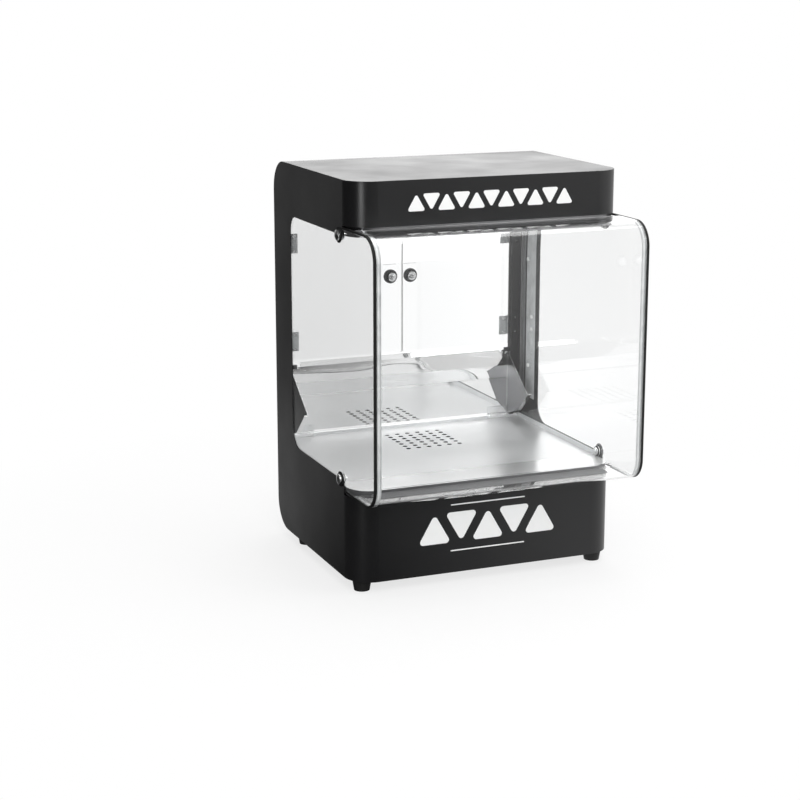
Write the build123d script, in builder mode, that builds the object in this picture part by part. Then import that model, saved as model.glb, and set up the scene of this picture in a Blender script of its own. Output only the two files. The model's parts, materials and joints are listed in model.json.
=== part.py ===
from build123d import *
import math
import os

os.makedirs("parts", exist_ok=True)

# Countertop chip warmer. +X is the operator's right seen from the front, +Y the rear, +Z up.
# The origin is the middle of the footprint on the counter. All sizes are in millimetres.

# Overall form
CASING_W = 495.0
CASING_D = 395.0
TOTAL_H = 700.0
FOOT_H = 20.5
SHIELD_REACH = 95.0      # clear shield ahead of the casing
KNOB_PROUD = 10.0        # door knobs behind the casing

# Sheets and clearances
SKIN = 1.5               # painted sheet
STEEL = 1.2              # stainless sheet
PANE = 3.0               # clear panels
SEAT = 0.2               # air beside a piece that is bolted or bonded in place
GAP = 0.3                # air beside a piece that moves
HOLE_AIR = 0.2           # screw hole radius over screw radius
TURN_AIR = 0.05          # bearing radius over pin radius

# Casing
FRONT_R = 45.5           # front corners, seen from above
REAR_R = 52.0            # rear corners, seen from the side
SEAM_LAND = 0.5          # straight stretch between a front corner and the side seam
BASE_FASCIA_H = 146.5
HEAD_FASCIA_H = 75.0
NOSE_BAND = 15.0         # bright band above the base fascia
LINER_BAND = 16.5        # bright band below the head fascia
SIDE_STEP = 24.0         # the base's side stands above its fascia
COLUMN_D = 88.0          # rear columns, front to back
WINDOW_R_LOW = 36.0
WINDOW_R_HIGH = 25.0
TAB_L = 14.0             # fascia tabs behind the side panels
TAB_H = 30.0

# Rear wall
TRAY_WALL_H = 155.5
ROOF_TAIL_H = 86.0
REAR_STILE_W = 25.0      # casing's side to the edge of the rear opening
SILL_OVER_DECK = 6.0
OPENING_UNDER_HEAD = 23.0
LIP_D = 12.5             # forward lip round the rear opening
LIP_RETURN = 7.5
DOOR_STOP_H = 8.0
DOOR_STOP_INSET = 22.5

# Deck
NOSE_D = 75.0
NOSE_JOGGLE = 14.0       # tongue of the nose below the deck plate
NOSE_R = 41.0
DECK_UPSTAND = 8.0
VENT_COLS = 6
VENT_ROWS = 7
VENT_PITCH_X = 20.3
VENT_PITCH_Y = 17.4
VENT_R = 4.5
VENT_FROM_REAR = 107.0   # casing's rear to the middle of the perforated field

# Shield
SHIELD_OVER_BASE = 6.0   # lower edge of the shield above the base fascia
SHIELD_UNDER_HEAD = 3.0
SHIELD_R_LOW = 40.0
SHIELD_R_TOP = 42.0
PANE_BACK_GAP = 22.0     # side panes end ahead of the casing's rear
BOLT_FROM_SEAM = 14.0
BOLT_ABOVE_SIDE = 0.5
BOLT_BELOW_HEAD = 1.0
BOLT_R = 2.5
LUG_R = 11.0
EAR_R = 9.0
WASHER_R_OUT = 13.0
WASHER_R_IN = 8.8
WASHER_T = 1.2
CAP_NUT_R = 9.0
CAP_NUT_H = 6.2
BOLT_HEAD_R = 7.0
BOLT_HEAD_H = 4.0
STUD_R = 2.0
STUD_HEAD_R = 4.0
STUD_HEAD_H = 2.6
# Each stud's distance ahead of the casing's rear and below the head.
STUD_PLACES = [(43.0, 130.0), (61.0, 238.0), (61.0, 262.0), (49.0, 334.0)]

# Feet
FOOT_R_TOP = 17.0
FOOT_R_LOW = 13.5
FOOT_SIDE_INSET = 26.5
FOOT_FRONT_INSET = 32.5
FOOT_REAR_INSET = 82.0
FOOT_SCREW_R = 3.0
FOOT_RECESS_R = 7.0
FOOT_RECESS_D = 7.0
FOOT_SCREW_HEAD_R = 5.4
FOOT_SCREW_HEAD_H = 4.0
NUT_HALF_W = 5.1         # half the width across flats
NUT_H = 5.0
THREAD_END = 2.0         # screw beyond its nut

# Doors
DOOR_SEAM = 2.0
DOOR_SIDE_AIR = 2.0
DOOR_OVER_FLAP = 2.5
DOOR_HIGH_AIR = 2.0
DOOR_BACK_STEP = 2.2     # doors lie this far inside the casing's rear face
DOOR_CORNER_R = 4.0
KNOB_X = 20.0
KNOB_RISE = 144.5        # knob above the door's lower edge
KNOB_R = 13.0
KNOB_NECK_R = 7.5
KNOB_HEAD_L = 7.0
KNOB_NUT_R = 5.0
KNOB_NUT_H = 5.0
HINGE_RISE = 36.0        # lower hinge above the door's lower edge
HINGE_DROP = 55.0        # upper hinge below the door's upper edge
HINGE_H = 36.0
HINGE_LEAF_W = 18.0
HINGE_PLATE_W = 18.5
KNUCKLE_R = 2.4
KNUCKLE_OUT = 2.0        # knuckle axis outside the edge of the rear opening
KNUCKLE_AIR = 0.4        # casing's rear face to the knuckles
PIN_R = 1.2
PIN_CAP_R = 1.9
PIN_CAP_H = 1.0
LEAF_SCREW_R = 1.5
LEAF_SCREW_SPREAD = 28.0
SMALL_HEAD_R = 3.2
SMALL_HEAD_H = 1.8
SILL_HEAD_R = 2.4

# Rear flap
FLAP_SIDE_AIR = 2.5
FLAP_FACE_BACK = 6.8     # rear of the flap's face ahead of the casing's rear face
FLAP_RISE = 128.0        # top of the flap's face above the sill
FLAP_LIP_H = 8.5
FLAP_LIP_LEAN = 3.0
FLAP_LIP_INSET = 19.0
CHEEK_REACH = 91.0       # cheek corner ahead of the face
CHEEK_CORNER_RISE = 56.5
CHEEK_HEEL_REACH = 48.0
CHEEK_HEEL_RISE = 17.0
CHEEK_TOP_DROP = 4.0
STOP_FLANGE = 6.5
FLAP_HINGE_L = 41.0
FLAP_HINGE_INSET = 22.5
FLAP_AXIS_STEP = 0.1     # hinge axis ahead of the flap's front face
FLAP_FOOT_AIR = 1.0
FLAP_KNUCKLE_R = 2.0
FLAP_PIN_R = 0.9
FLAP_LEAF_H = 12.0
SILL_PLATE_H = 5.0
CATCH_W = 12.5
CATCH_H = 7.5
CATCH_DROP = 2.5
STRIKE_INSET = 15.0
STRIKE_DROP = 5.0

# Fan and heater below the perforated field
FAN_SIZE = 120.0
FAN_T = 25.0
FAN_LIFT = 18.0
FAN_BORE_R = 56.0
FAN_HOLE = 51.0
HUB_R = 19.0
BLADE_TIP_R = 54.0
BLADES = 7
BLADE_T = 1.6
BLADE_ROOT_IN = 1.5      # blades start inside the hub's rim
BLADE_ROOT_W = 18.0
BLADE_ROOT_TURN = 48.0
BLADE_TIP_W = 30.0
BLADE_TIP_TURN = 30.0
MOTOR_BASE = 3.0
HUB_DROP = 3.0           # hub below the fan's top
FAN_CORNER_R = 5.0
FAN_ARM_W = 4.0
FAN_SCREW_HEAD_R = 3.6
FAN_SCREW_HEAD_H = 2.5
FAN_SHAFT_R = 2.0
STANDOFF_R = 4.0
DUCT_HALF = 58.0
ELEMENT_R = 4.0
ELEMENT_LIFT = 50.0      # element above the fan
ELEMENT_SIDE_AIR = 12.0
ELEMENT_TAIL = 14.0
ELEMENT_PITCH = 22.3
CUTOUT_LIFT = 30.0       # cut-out above the element
CUTOUT_R = 8.0
CUTOUT_L = 9.0
CUTOUT_FLANGE = (30.0, 18.0, 1.0)
CUTOUT_TAG = (8.0, 0.8, 6.0)
CUTOUT_TAG_PITCH = 9.0
TERMINAL_INSET = 10.0    # middle of the block inside the inlet
TERMINAL_L = 60.0
TERMINAL_BASE = (22.0, 8.0)
TERMINAL_RIDGE = (12.0, 9.0)
TERMINALS = 6
TERMINAL_PITCH = 10.0
TERMINAL_BORE_R = 2.6
TERMINAL_BORE_D = 6.0

# Controls on the lower rear wall
INLET_INSET = 77.5
CONTROL_RISE = 101.5     # controls above the casing's lower edge
SWITCH_INSETS = {"light": 177.5, "heat": 137.5}
INLET_BODY = (27.0, 20.0, 24.0)
INLET_FLANGE = (50.0, 26.0, 3.0)
INLET_CORNER_R = 4.0
INLET_SCREW_INSET = 5.0
SOCKET_WALL = 2.0
SOCKET_D = 17.0
PIN_SIZE = (2.0, 10.0, 4.0)
PIN_PLACES = [(-7.0, -1.5), (0.0, 2.5), (7.0, -1.5)]
SWITCH_BODY = (22.5, 28.0, 18.0)
SWITCH_BEZEL = (27.0, 32.5, 2.0)
ROCKER_W = 18.4
ROCKER_OPEN = (19.0, 24.0)
ROCKER_HALF = 10.8
ROCKER_TILT = 10.0
ROCKER_PIVOT_R = 1.5
ROCKER_PIVOT_IN = 2.0    # pivot ahead of the casing's rear face
ROCKER_WELL = 9.0
ROCKER_TOP = 5.6
ROCKER_DISH = 2.0
ROCKER_BELLY = 5.0
ROCKER_STUB = 1.0
SWITCH_TAG = (0.8, 8.0, 6.0)
SWITCH_TAG_PITCH = 10.0
SLOT_L = 42.0
SLOT_W = 5.0
SLOT_PITCH = 13.0
REAR_SLOTS = 13
FLOOR_SLOTS = 8

# Lamp in the head
LAMP_FROM_FRONT = 135.0
LAMP_HALF = 150.0
LAMP_WINDOW = 80.0
LAMP_LAP = 8.0
REFLECTOR_R = 46.0
REFLECTOR_FLANGE = 12.0
TUBE_R = 8.0
TUBE_RISE = 22.0
HOLDER_T = 10.0
HOLDER_W = 22.0
HOLDER_OVER_TUBE = 10.0
TUBE_CAP_L = 4.0

# Lines worked out from the sizes above
HALF_W = CASING_W / 2
IN_W = HALF_W - SKIN                       # inner face of the side panels
PANE_X = IN_W - PANE                       # inner face of the side panes
CORE_W = PANE_X - SEAT                     # half width of what lies between the panes
DEPTH = SHIELD_REACH + CASING_D + KNOB_PROUD
SHIELD_Y = -DEPTH / 2
FRONT_Y = SHIELD_Y + SHIELD_REACH
REAR_Y = FRONT_Y + CASING_D
WALL_Y = REAR_Y - SKIN                     # inner face of the rear wall
SEAM_Y = FRONT_Y + FRONT_R + SEAM_LAND
COLUMN_Y = REAR_Y - COLUMN_D
FLOOR_Z = FOOT_H + SKIN
FASCIA_TOP = FOOT_H + BASE_FASCIA_H
DECK_TOP = FASCIA_TOP + NOSE_BAND
DECK_LOW = DECK_TOP - STEEL
SIDE_TOP = FASCIA_TOP + SIDE_STEP
HEAD_LOW = TOTAL_H - HEAD_FASCIA_H
SIDE_LOW = HEAD_LOW - LINER_BAND
NOSE_BACK = FRONT_Y + NOSE_D
LIP_Y = WALL_Y - LIP_D
TRAY_WALL_TOP = FOOT_H + TRAY_WALL_H
ROOF_TAIL_Z = TOTAL_H - ROOF_TAIL_H
OPEN_X = HALF_W - REAR_STILE_W
OPENING_LOW = DECK_TOP + SILL_OVER_DECK
OPENING_HIGH = HEAD_LOW - OPENING_UNDER_HEAD
VENT_Y = REAR_Y - VENT_FROM_REAR
FOOT_X = HALF_W - FOOT_SIDE_INSET
SHIELD_LOW = FASCIA_TOP + SHIELD_OVER_BASE
SHIELD_TOP = HEAD_LOW - SHIELD_UNDER_HEAD
BOLT_Y = SEAM_Y + BOLT_FROM_SEAM
BOLT_SPOTS = [(BOLT_Y, SIDE_TOP + BOLT_ABOVE_SIDE), (BOLT_Y, SIDE_LOW - BOLT_BELOW_HEAD)]
STUD_SPOTS = [(REAR_Y - ahead, HEAD_LOW - below) for ahead, below in STUD_PLACES]
DOOR_X = OPEN_X - DOOR_SIDE_AIR
DOOR_REAR = REAR_Y - DOOR_BACK_STEP
DOOR_FRONT = DOOR_REAR - PANE
FLAP_TOP = OPENING_LOW + FLAP_RISE
DOOR_LOW = FLAP_TOP + FLAP_LIP_H + DOOR_OVER_FLAP
DOOR_HIGH = OPENING_HIGH - DOOR_HIGH_AIR
DOOR_AXIS_X = OPEN_X + KNUCKLE_OUT
DOOR_AXIS_Y = REAR_Y + KNUCKLE_AIR + KNUCKLE_R
KNOB_Z = DOOR_LOW + KNOB_RISE
HINGE_HEIGHTS = (DOOR_LOW + HINGE_RISE, DOOR_HIGH - HINGE_DROP)
FLAP_X = OPEN_X - FLAP_SIDE_AIR
FLAP_REAR = REAR_Y - FLAP_FACE_BACK
FLAP_FRONT = FLAP_REAR - STEEL
SILL_FRONT = FLAP_FRONT - SEAT
FLAP_AXIS_Y = FLAP_FRONT - FLAP_AXIS_STEP
FLAP_AXIS_Z = OPENING_LOW + FLAP_KNUCKLE_R + 2 * GAP
FLAP_LOW = FLAP_AXIS_Z + FLAP_KNUCKLE_R + FLAP_FOOT_AIR
FLAP_HINGE_X = FLAP_X - FLAP_HINGE_INSET
CONTROL_Z = FOOT_H + CONTROL_RISE
INLET_X = HALF_W - INLET_INSET
SWITCH_XS = {label: HALF_W - inset for label, inset in SWITCH_INSETS.items()}
LAMP_Y = FRONT_Y + LAMP_FROM_FRONT
FAN_LOW = FLOOR_Z + FAN_LIFT
FAN_TOP = FAN_LOW + FAN_T
ELEMENT_Z = FAN_TOP + ELEMENT_LIFT
FEET = {
    "front_left": (-FOOT_X, FRONT_Y + FOOT_FRONT_INSET),
    "front_right": (FOOT_X, FRONT_Y + FOOT_FRONT_INSET),
    "rear_left": (-FOOT_X, REAR_Y - FOOT_REAR_INSET),
    "rear_right": (FOOT_X, REAR_Y - FOOT_REAR_INSET),
}
SIDES = {"left": -1, "right": 1}


def save(piece, name):
    """Label a finished sub-part and write it."""
    piece.part.label = name
    export_step(piece.part, f"parts/{name}.step")


def rect(u0, u1, v0, v1, mode=Mode.ADD):
    """Rectangle between two corners of the current sketch."""
    with Locations(((u0 + u1) / 2, (v0 + v1) / 2)):
        Rectangle(u1 - u0, v1 - v0, mode=mode)


def block(x0, x1, y0, y1, z0, z1, mode=Mode.ADD):
    """Box between two corners of the current part."""
    with Locations(((x0 + x1) / 2, (y0 + y1) / 2, (z0 + z1) / 2)):
        Box(x1 - x0, y1 - y0, z1 - z0, mode=mode)


def bars_x(x0, x1, radius, spots, mode=Mode.ADD):
    """Round bars along X, one at each (Y, Z) spot."""
    with BuildSketch(Plane.YZ.offset(x0)) as ends:
        with Locations(*spots):
            Circle(radius)
    extrude(ends.sketch, amount=x1 - x0, mode=mode)


def bars_y(y0, y1, radius, spots, mode=Mode.ADD):
    """Round bars along Y, one at each (X, Z) spot."""
    with BuildSketch(Plane.XZ.offset(-y1)) as ends:
        with Locations(*spots):
            Circle(radius)
    extrude(ends.sketch, amount=y1 - y0, mode=mode)


def bars_z(z0, z1, radius, spots, mode=Mode.ADD):
    """Round bars along Z, one at each (X, Y) spot."""
    with BuildSketch(Plane.XY.offset(z0)) as ends:
        with Locations(*spots):
            Circle(radius)
    extrude(ends.sketch, amount=z1 - z0, mode=mode)


def folded(plane, points, radii, wall, side):
    """Section of a folded sheet: a path with round bends and a wall on one side of it."""
    with BuildSketch(plane) as section:
        with BuildLine():
            FilletPolyline(*points, radius=radii)
            offset(amount=wall, side=side)
        make_face()
    return section.sketch


def front_plan(z, half_w, y_front, y_back, radius):
    """Plan outline with two round front corners."""
    with BuildSketch(Plane.XY.offset(z)) as plan:
        rect(-half_w, half_w, y_front, y_back)
        fillet(plan.vertices().group_by(Axis.Y)[0], radius)
    return plan.sketch


def side_plane(side, inner_x, wall):
    """YZ plane on the low-X face of an upright sheet whose inner face is at inner_x."""
    return Plane.YZ.offset(inner_x if side > 0 else -inner_x - wall)


def domes(spots, direction, height, radius):
    """Low domed heads standing on each (X, Y, Z) spot, along a direction."""
    crown = 0.4 * height
    ball_r = (radius ** 2 + crown ** 2) / (2 * crown)
    half_turn = math.asin(radius / ball_r) / 2
    shoulder = (height - ball_r * (1 - math.cos(half_turn)), ball_r * math.sin(half_turn))
    for spot in spots:
        with BuildSketch(Plane(origin=spot, x_dir=direction, z_dir=(0, 0, 1))) as half:
            with BuildLine():
                Polyline((height, 0), (0, 0), (0, radius), (height - crown, radius))
                ThreePointArc((height - crown, radius), shoulder, (height, 0))
            make_face()
        revolve(half.sketch, axis=Axis(spot, direction))


# ---------------------------------------------------------------- casing

def side_panel(side):
    """Painted side sheet: base, rear column and head round the open window."""
    plane = side_plane(side, IN_W, SKIN)
    with BuildPart() as panel:
        with BuildSketch(plane) as outline:
            rect(SEAM_Y, REAR_Y, FOOT_H, TOTAL_H)
            fillet(outline.vertices().group_by(Axis.X)[-1], REAR_R)
        extrude(amount=SKIN)
        with BuildSketch(plane) as window:
            rect(SHIELD_Y, COLUMN_Y, SIDE_TOP, SIDE_LOW)
            rear = window.vertices().group_by(Axis.X)[-1].sort_by(Axis.Y)
            fillet(rear[0], WINDOW_R_LOW)
            high = window.vertices().group_by(Axis.X)[-1].sort_by(Axis.Y)
            fillet(high[-1], WINDOW_R_HIGH)
        extrude(amount=SKIN, mode=Mode.SUBTRACT)
        with BuildSketch(plane):
            with Locations(*BOLT_SPOTS):
                Circle(LUG_R)
        extrude(amount=SKIN)
        with BuildSketch(plane):
            with Locations(*BOLT_SPOTS):
                Circle(BOLT_R + HOLE_AIR)
        extrude(amount=SKIN, mode=Mode.SUBTRACT)
    return panel


for label, side in SIDES.items():
    save(side_panel(side), f"side_panel_{label}")


def fascia(z_low, z_high):
    """Painted front sheet, bent round both front corners, with a tab behind each seam."""
    path = [(-HALF_W, SEAM_Y), (-HALF_W, FRONT_Y), (HALF_W, FRONT_Y), (HALF_W, SEAM_Y)]
    middle = (z_low + z_high) / 2
    with BuildPart() as wrap:
        extrude(folded(Plane.XY.offset(z_low), path, FRONT_R, SKIN, Side.LEFT), amount=z_high - z_low)
        block(IN_W - SKIN, IN_W, SEAM_Y - TAB_L, SEAM_Y + TAB_L, middle - TAB_H / 2, middle + TAB_H / 2)
        block(-IN_W, SKIN - IN_W, SEAM_Y - TAB_L, SEAM_Y + TAB_L, middle - TAB_H / 2, middle + TAB_H / 2)
        outer = front_plan(z_low, HALF_W, FRONT_Y, REAR_Y, FRONT_R)
        extrude(outer, amount=z_high - z_low, mode=Mode.INTERSECT)
    return wrap


head_fascia = fascia(HEAD_LOW, TOTAL_H)
save(head_fascia, "head_fascia")
base_fascia = fascia(FOOT_H, FASCIA_TOP)
save(base_fascia, "base_fascia")

INSIDE_PLAN = front_plan(0, IN_W, FRONT_Y + SKIN, REAR_Y, FRONT_R - SKIN)

with BuildPart() as roof_panel:
    roof_path = [(FRONT_Y, TOTAL_H), (REAR_Y, TOTAL_H), (REAR_Y, ROOF_TAIL_Z)]
    extrude(folded(Plane.YZ.offset(-IN_W), roof_path, REAR_R, SKIN, Side.RIGHT), amount=2 * IN_W)
    extrude(INSIDE_PLAN, amount=TOTAL_H, mode=Mode.INTERSECT)
save(roof_panel, "roof_panel")

with BuildPart() as base_tray:
    tray_path = [(FRONT_Y, FOOT_H), (REAR_Y, FOOT_H), (REAR_Y, TRAY_WALL_TOP)]
    extrude(folded(Plane.YZ.offset(-IN_W), tray_path, REAR_R, SKIN, Side.LEFT), amount=2 * IN_W)
    extrude(INSIDE_PLAN, amount=TOTAL_H, mode=Mode.INTERSECT)
    bars_z(FOOT_H, FLOOR_Z, FOOT_SCREW_R + HOLE_AIR, list(FEET.values()), Mode.SUBTRACT)
    with BuildSketch(Plane.XY.offset(FOOT_H)):
        with Locations((0, VENT_Y)):
            with GridLocations(0, SLOT_PITCH, 1, FLOOR_SLOTS):
                SlotOverall(2 * FAN_HOLE - 2 * STANDOFF_R, SLOT_W)
    extrude(amount=SKIN, mode=Mode.SUBTRACT)
    with BuildSketch(Plane.XZ.offset(-REAR_Y)):
        with Locations((-FOOT_X / 2, CONTROL_Z)):
            with GridLocations(SLOT_PITCH, 0, REAR_SLOTS, 1):
                SlotOverall(SLOT_L, SLOT_W, rotation=90)
        with Locations((INLET_X, CONTROL_Z)):
            Rectangle(INLET_BODY[0] + 2 * SEAT, INLET_BODY[1] + 2 * SEAT)
        with Locations(*[(x, CONTROL_Z) for x in SWITCH_XS.values()]):
            Rectangle(SWITCH_BODY[0] + 2 * SEAT, SWITCH_BODY[1] + 2 * SEAT)
    extrude(amount=SKIN, mode=Mode.SUBTRACT)
    inlet_holes = [(INLET_X + s * (INLET_FLANGE[0] / 2 - INLET_SCREW_INSET), CONTROL_Z) for s in (-1, 1)]
    bars_y(WALL_Y, REAR_Y, LEAF_SCREW_R + HOLE_AIR, inlet_holes, Mode.SUBTRACT)
save(base_tray, "base_tray")

HINGE_PLATE_SCREW_X = DOOR_AXIS_X + HINGE_PLATE_W - 2 * SMALL_HEAD_R
HINGE_SCREW_ZS = [z + s * LEAF_SCREW_SPREAD / 2 for z in HINGE_HEIGHTS for s in (-1, 1)]

with BuildPart() as rear_frame:
    block(-IN_W, IN_W, WALL_Y, REAR_Y, TRAY_WALL_TOP, ROOF_TAIL_Z)
    block(-OPEN_X, OPEN_X, WALL_Y, REAR_Y, OPENING_LOW, OPENING_HIGH, Mode.SUBTRACT)
    for s in (-1, 1):
        inner, outer = sorted((s * OPEN_X, s * (OPEN_X + STEEL)))
        block(inner, outer, LIP_Y, WALL_Y, OPENING_LOW, OPENING_HIGH)
        inner, outer = sorted((s * OPEN_X, s * (OPEN_X + LIP_RETURN)))
        block(inner, outer, LIP_Y, LIP_Y + STEEL, OPENING_LOW, OPENING_HIGH)
    block(-OPEN_X - STEEL, OPEN_X + STEEL, LIP_Y, WALL_Y, OPENING_HIGH, OPENING_HIGH + STEEL)
    stop_y = DOOR_FRONT - GAP
    stop_x = OPEN_X - DOOR_STOP_INSET
    block(-stop_x, stop_x, stop_y - STEEL, stop_y, OPENING_HIGH - DOOR_STOP_H, OPENING_HIGH)
    plate_holes = [(s * HINGE_PLATE_SCREW_X, z) for s in (-1, 1) for z in HINGE_SCREW_ZS]
    bars_y(WALL_Y, REAR_Y, LEAF_SCREW_R + HOLE_AIR, plate_holes, Mode.SUBTRACT)
save(rear_frame, "rear_frame")

with BuildPart() as head_liner:
    extrude(front_plan(SIDE_LOW, CORE_W, FRONT_Y, LIP_Y - SEAT, NOSE_R), amount=LINER_BAND)
    liner_room = front_plan(
        SIDE_LOW, CORE_W - STEEL, FRONT_Y + STEEL, LIP_Y - SEAT - STEEL, NOSE_R - STEEL)
    extrude(liner_room, amount=LINER_BAND - STEEL, mode=Mode.SUBTRACT)
    block(-CORE_W, CORE_W, LIP_Y - SEAT - STEEL, LIP_Y - SEAT, OPENING_HIGH, SIDE_LOW)
    block(-LAMP_HALF, LAMP_HALF, LAMP_Y - LAMP_WINDOW / 2, LAMP_Y + LAMP_WINDOW / 2,
          HEAD_LOW - STEEL, HEAD_LOW, Mode.SUBTRACT)
    for x0 in (CORE_W - STEEL, -CORE_W):
        bars_x(x0, x0 + STEEL, EAR_R, BOLT_SPOTS[1:])
        bars_x(x0, x0 + STEEL, BOLT_R + HOLE_AIR, BOLT_SPOTS[1:], Mode.SUBTRACT)
save(head_liner, "head_liner")

with BuildPart() as deck_nose:
    extrude(front_plan(FASCIA_TOP, CORE_W, FRONT_Y, NOSE_BACK, NOSE_R), amount=NOSE_BAND)
    nose_room = front_plan(
        FASCIA_TOP, CORE_W - STEEL, FRONT_Y + STEEL, NOSE_BACK, NOSE_R - STEEL)
    extrude(nose_room, amount=NOSE_BAND - STEEL, mode=Mode.SUBTRACT)
    block(STEEL - CORE_W, CORE_W - STEEL, NOSE_BACK - STEEL, NOSE_BACK + NOSE_JOGGLE,
          DECK_LOW - STEEL, DECK_LOW)
save(deck_nose, "deck_nose")

with BuildPart() as deck_plate:
    block(-CORE_W, CORE_W, NOSE_BACK + SEAT, SILL_FRONT - SEAT, DECK_LOW, DECK_TOP)
    for x0 in (CORE_W - STEEL, -CORE_W):
        block(x0, x0 + STEEL, NOSE_BACK + SEAT, SILL_FRONT - SEAT, DECK_TOP, DECK_TOP + DECK_UPSTAND)
        block(x0, x0 + STEEL, BOLT_Y, NOSE_BACK + SEAT, DECK_TOP + SEAT, DECK_TOP + DECK_UPSTAND)
        bars_x(x0, x0 + STEEL, EAR_R, BOLT_SPOTS[:1])
        bars_x(x0, x0 + STEEL, BOLT_R + HOLE_AIR, BOLT_SPOTS[:1], Mode.SUBTRACT)
    with BuildSketch(Plane.XY.offset(DECK_LOW)):
        with Locations((0, VENT_Y)):
            with GridLocations(VENT_PITCH_X, VENT_PITCH_Y, VENT_COLS, VENT_ROWS):
                Circle(VENT_R)
    extrude(amount=STEEL, mode=Mode.SUBTRACT)
save(deck_plate, "deck_plate")

SILL_SCREW_X = FLAP_HINGE_X - FLAP_HINGE_L / 2 + 2 * SMALL_HEAD_R
SILL_SCREWS = [(s * SILL_SCREW_X, OPENING_LOW - SILL_PLATE_H / 2) for s in (-1, 1)]

with BuildPart() as rear_sill:
    block(-CORE_W, CORE_W, SILL_FRONT, SILL_FRONT + STEEL, TRAY_WALL_TOP, OPENING_LOW)
    block(-CORE_W, CORE_W, SILL_FRONT, WALL_Y, OPENING_LOW - STEEL, OPENING_LOW)
    bars_y(SILL_FRONT, SILL_FRONT + STEEL, LEAF_SCREW_R + HOLE_AIR, SILL_SCREWS, Mode.SUBTRACT)
save(rear_sill, "rear_sill")

# ---------------------------------------------------------------- clear shield

SHIELD_PATH = [
    (SEAM_Y - GAP, SHIELD_TOP),
    (SHIELD_Y, SHIELD_TOP),
    (SHIELD_Y, SHIELD_LOW),
    (SEAM_Y - GAP, SHIELD_LOW),
]
SHIELD_RADII = [SHIELD_R_TOP, SHIELD_R_LOW]

with BuildPart() as shield_front:
    sheet = folded(Plane.YZ.offset(SEAT - PANE_X), SHIELD_PATH, SHIELD_RADII, PANE, Side.LEFT)
    extrude(sheet, amount=2 * (PANE_X - SEAT))
    block(-HALF_W, HALF_W, FRONT_Y - GAP, REAR_Y, 0, TOTAL_H, Mode.SUBTRACT)
save(shield_front, "shield_front")


def shield_side(side):
    """Clear side pane from the front bend back into the rear column."""
    plane = side_plane(side, PANE_X, PANE)
    with BuildPart() as pane:
        with BuildSketch(plane) as outline:
            rect(SHIELD_Y + PANE, REAR_Y - PANE_BACK_GAP, SHIELD_LOW + PANE, SHIELD_TOP - PANE)
            low = outline.vertices().group_by(Axis.X)[0].sort_by(Axis.Y)
            fillet(low[0], SHIELD_R_LOW - PANE)
            high = outline.vertices().group_by(Axis.X)[0].sort_by(Axis.Y)
            fillet(high[-1], SHIELD_R_TOP - PANE)
        extrude(amount=PANE)
        with BuildSketch(plane):
            with Locations(*BOLT_SPOTS):
                Circle(BOLT_R + HOLE_AIR)
            with Locations(*STUD_SPOTS):
                Circle(STUD_R + HOLE_AIR)
        extrude(amount=PANE, mode=Mode.SUBTRACT)
    return pane


def shield_trim(side):
    """Black edging over the joint of the bent sheet and a side pane."""
    plane = side_plane(side, PANE_X, HALF_W - PANE_X)
    with BuildPart() as trim:
        edging = folded(plane, SHIELD_PATH, SHIELD_RADII, PANE - SEAT / 2, Side.LEFT)
        extrude(edging, amount=HALF_W - PANE_X)
    return trim


for label, side in SIDES.items():
    save(shield_side(side), f"shield_side_{label}")
    save(shield_trim(side), f"shield_trim_{label}")

EAR_X = CORE_W - STEEL
HEAD_X = EAR_X - WASHER_T
NUT_X = HALF_W + WASHER_T

with BuildPart() as shield_bolts:
    bars_x(HEAD_X, NUT_X + 0.6 * CAP_NUT_H, BOLT_R, BOLT_SPOTS)
    domes([(HEAD_X, y, z) for y, z in BOLT_SPOTS], (-1, 0, 0), BOLT_HEAD_H, BOLT_HEAD_R)
    mirror(about=Plane.YZ)
save(shield_bolts, "shield_bolts")

with BuildPart() as shield_washers:
    bars_x(HALF_W, NUT_X, WASHER_R_OUT, BOLT_SPOTS)
    bars_x(HEAD_X, EAR_X, WASHER_R_IN, BOLT_SPOTS)
    bars_x(HEAD_X, NUT_X, BOLT_R + HOLE_AIR, BOLT_SPOTS, Mode.SUBTRACT)
    mirror(about=Plane.YZ)
save(shield_washers, "shield_washers")

with BuildPart() as shield_cap_nuts:
    domes([(NUT_X, y, z) for y, z in BOLT_SPOTS], (1, 0, 0), CAP_NUT_H, CAP_NUT_R)
    bars_x(NUT_X, NUT_X + 0.6 * CAP_NUT_H, BOLT_R + TURN_AIR, BOLT_SPOTS, Mode.SUBTRACT)
    mirror(about=Plane.YZ)
save(shield_cap_nuts, "shield_cap_nuts")

with BuildPart() as pane_studs:
    bars_x(PANE_X - STUD_HEAD_H, IN_W, STUD_R, STUD_SPOTS)
    domes([(PANE_X, y, z) for y, z in STUD_SPOTS], (-1, 0, 0), STUD_HEAD_H, STUD_HEAD_R)
    mirror(about=Plane.YZ)
save(pane_studs, "pane_studs")

# ---------------------------------------------------------------- feet


def foot(x, y):
    """Tapered rubber foot with a recess for its screw."""
    with BuildPart() as rubber:
        with BuildSketch(Plane.XY):
            with Locations((x, y)):
                Circle(FOOT_R_LOW)
        with BuildSketch(Plane.XY.offset(FOOT_H)):
            with Locations((x, y)):
                Circle(FOOT_R_TOP)
        loft()
        bars_z(0, FOOT_RECESS_D, FOOT_RECESS_R, [(x, y)], Mode.SUBTRACT)
        bars_z(0, FOOT_H, FOOT_SCREW_R + HOLE_AIR, [(x, y)], Mode.SUBTRACT)
    return rubber


for label, (x, y) in FEET.items():
    save(foot(x, y), f"foot_{label}")

SCREW_HEAD_LOW = FOOT_RECESS_D - FOOT_SCREW_HEAD_H

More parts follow.
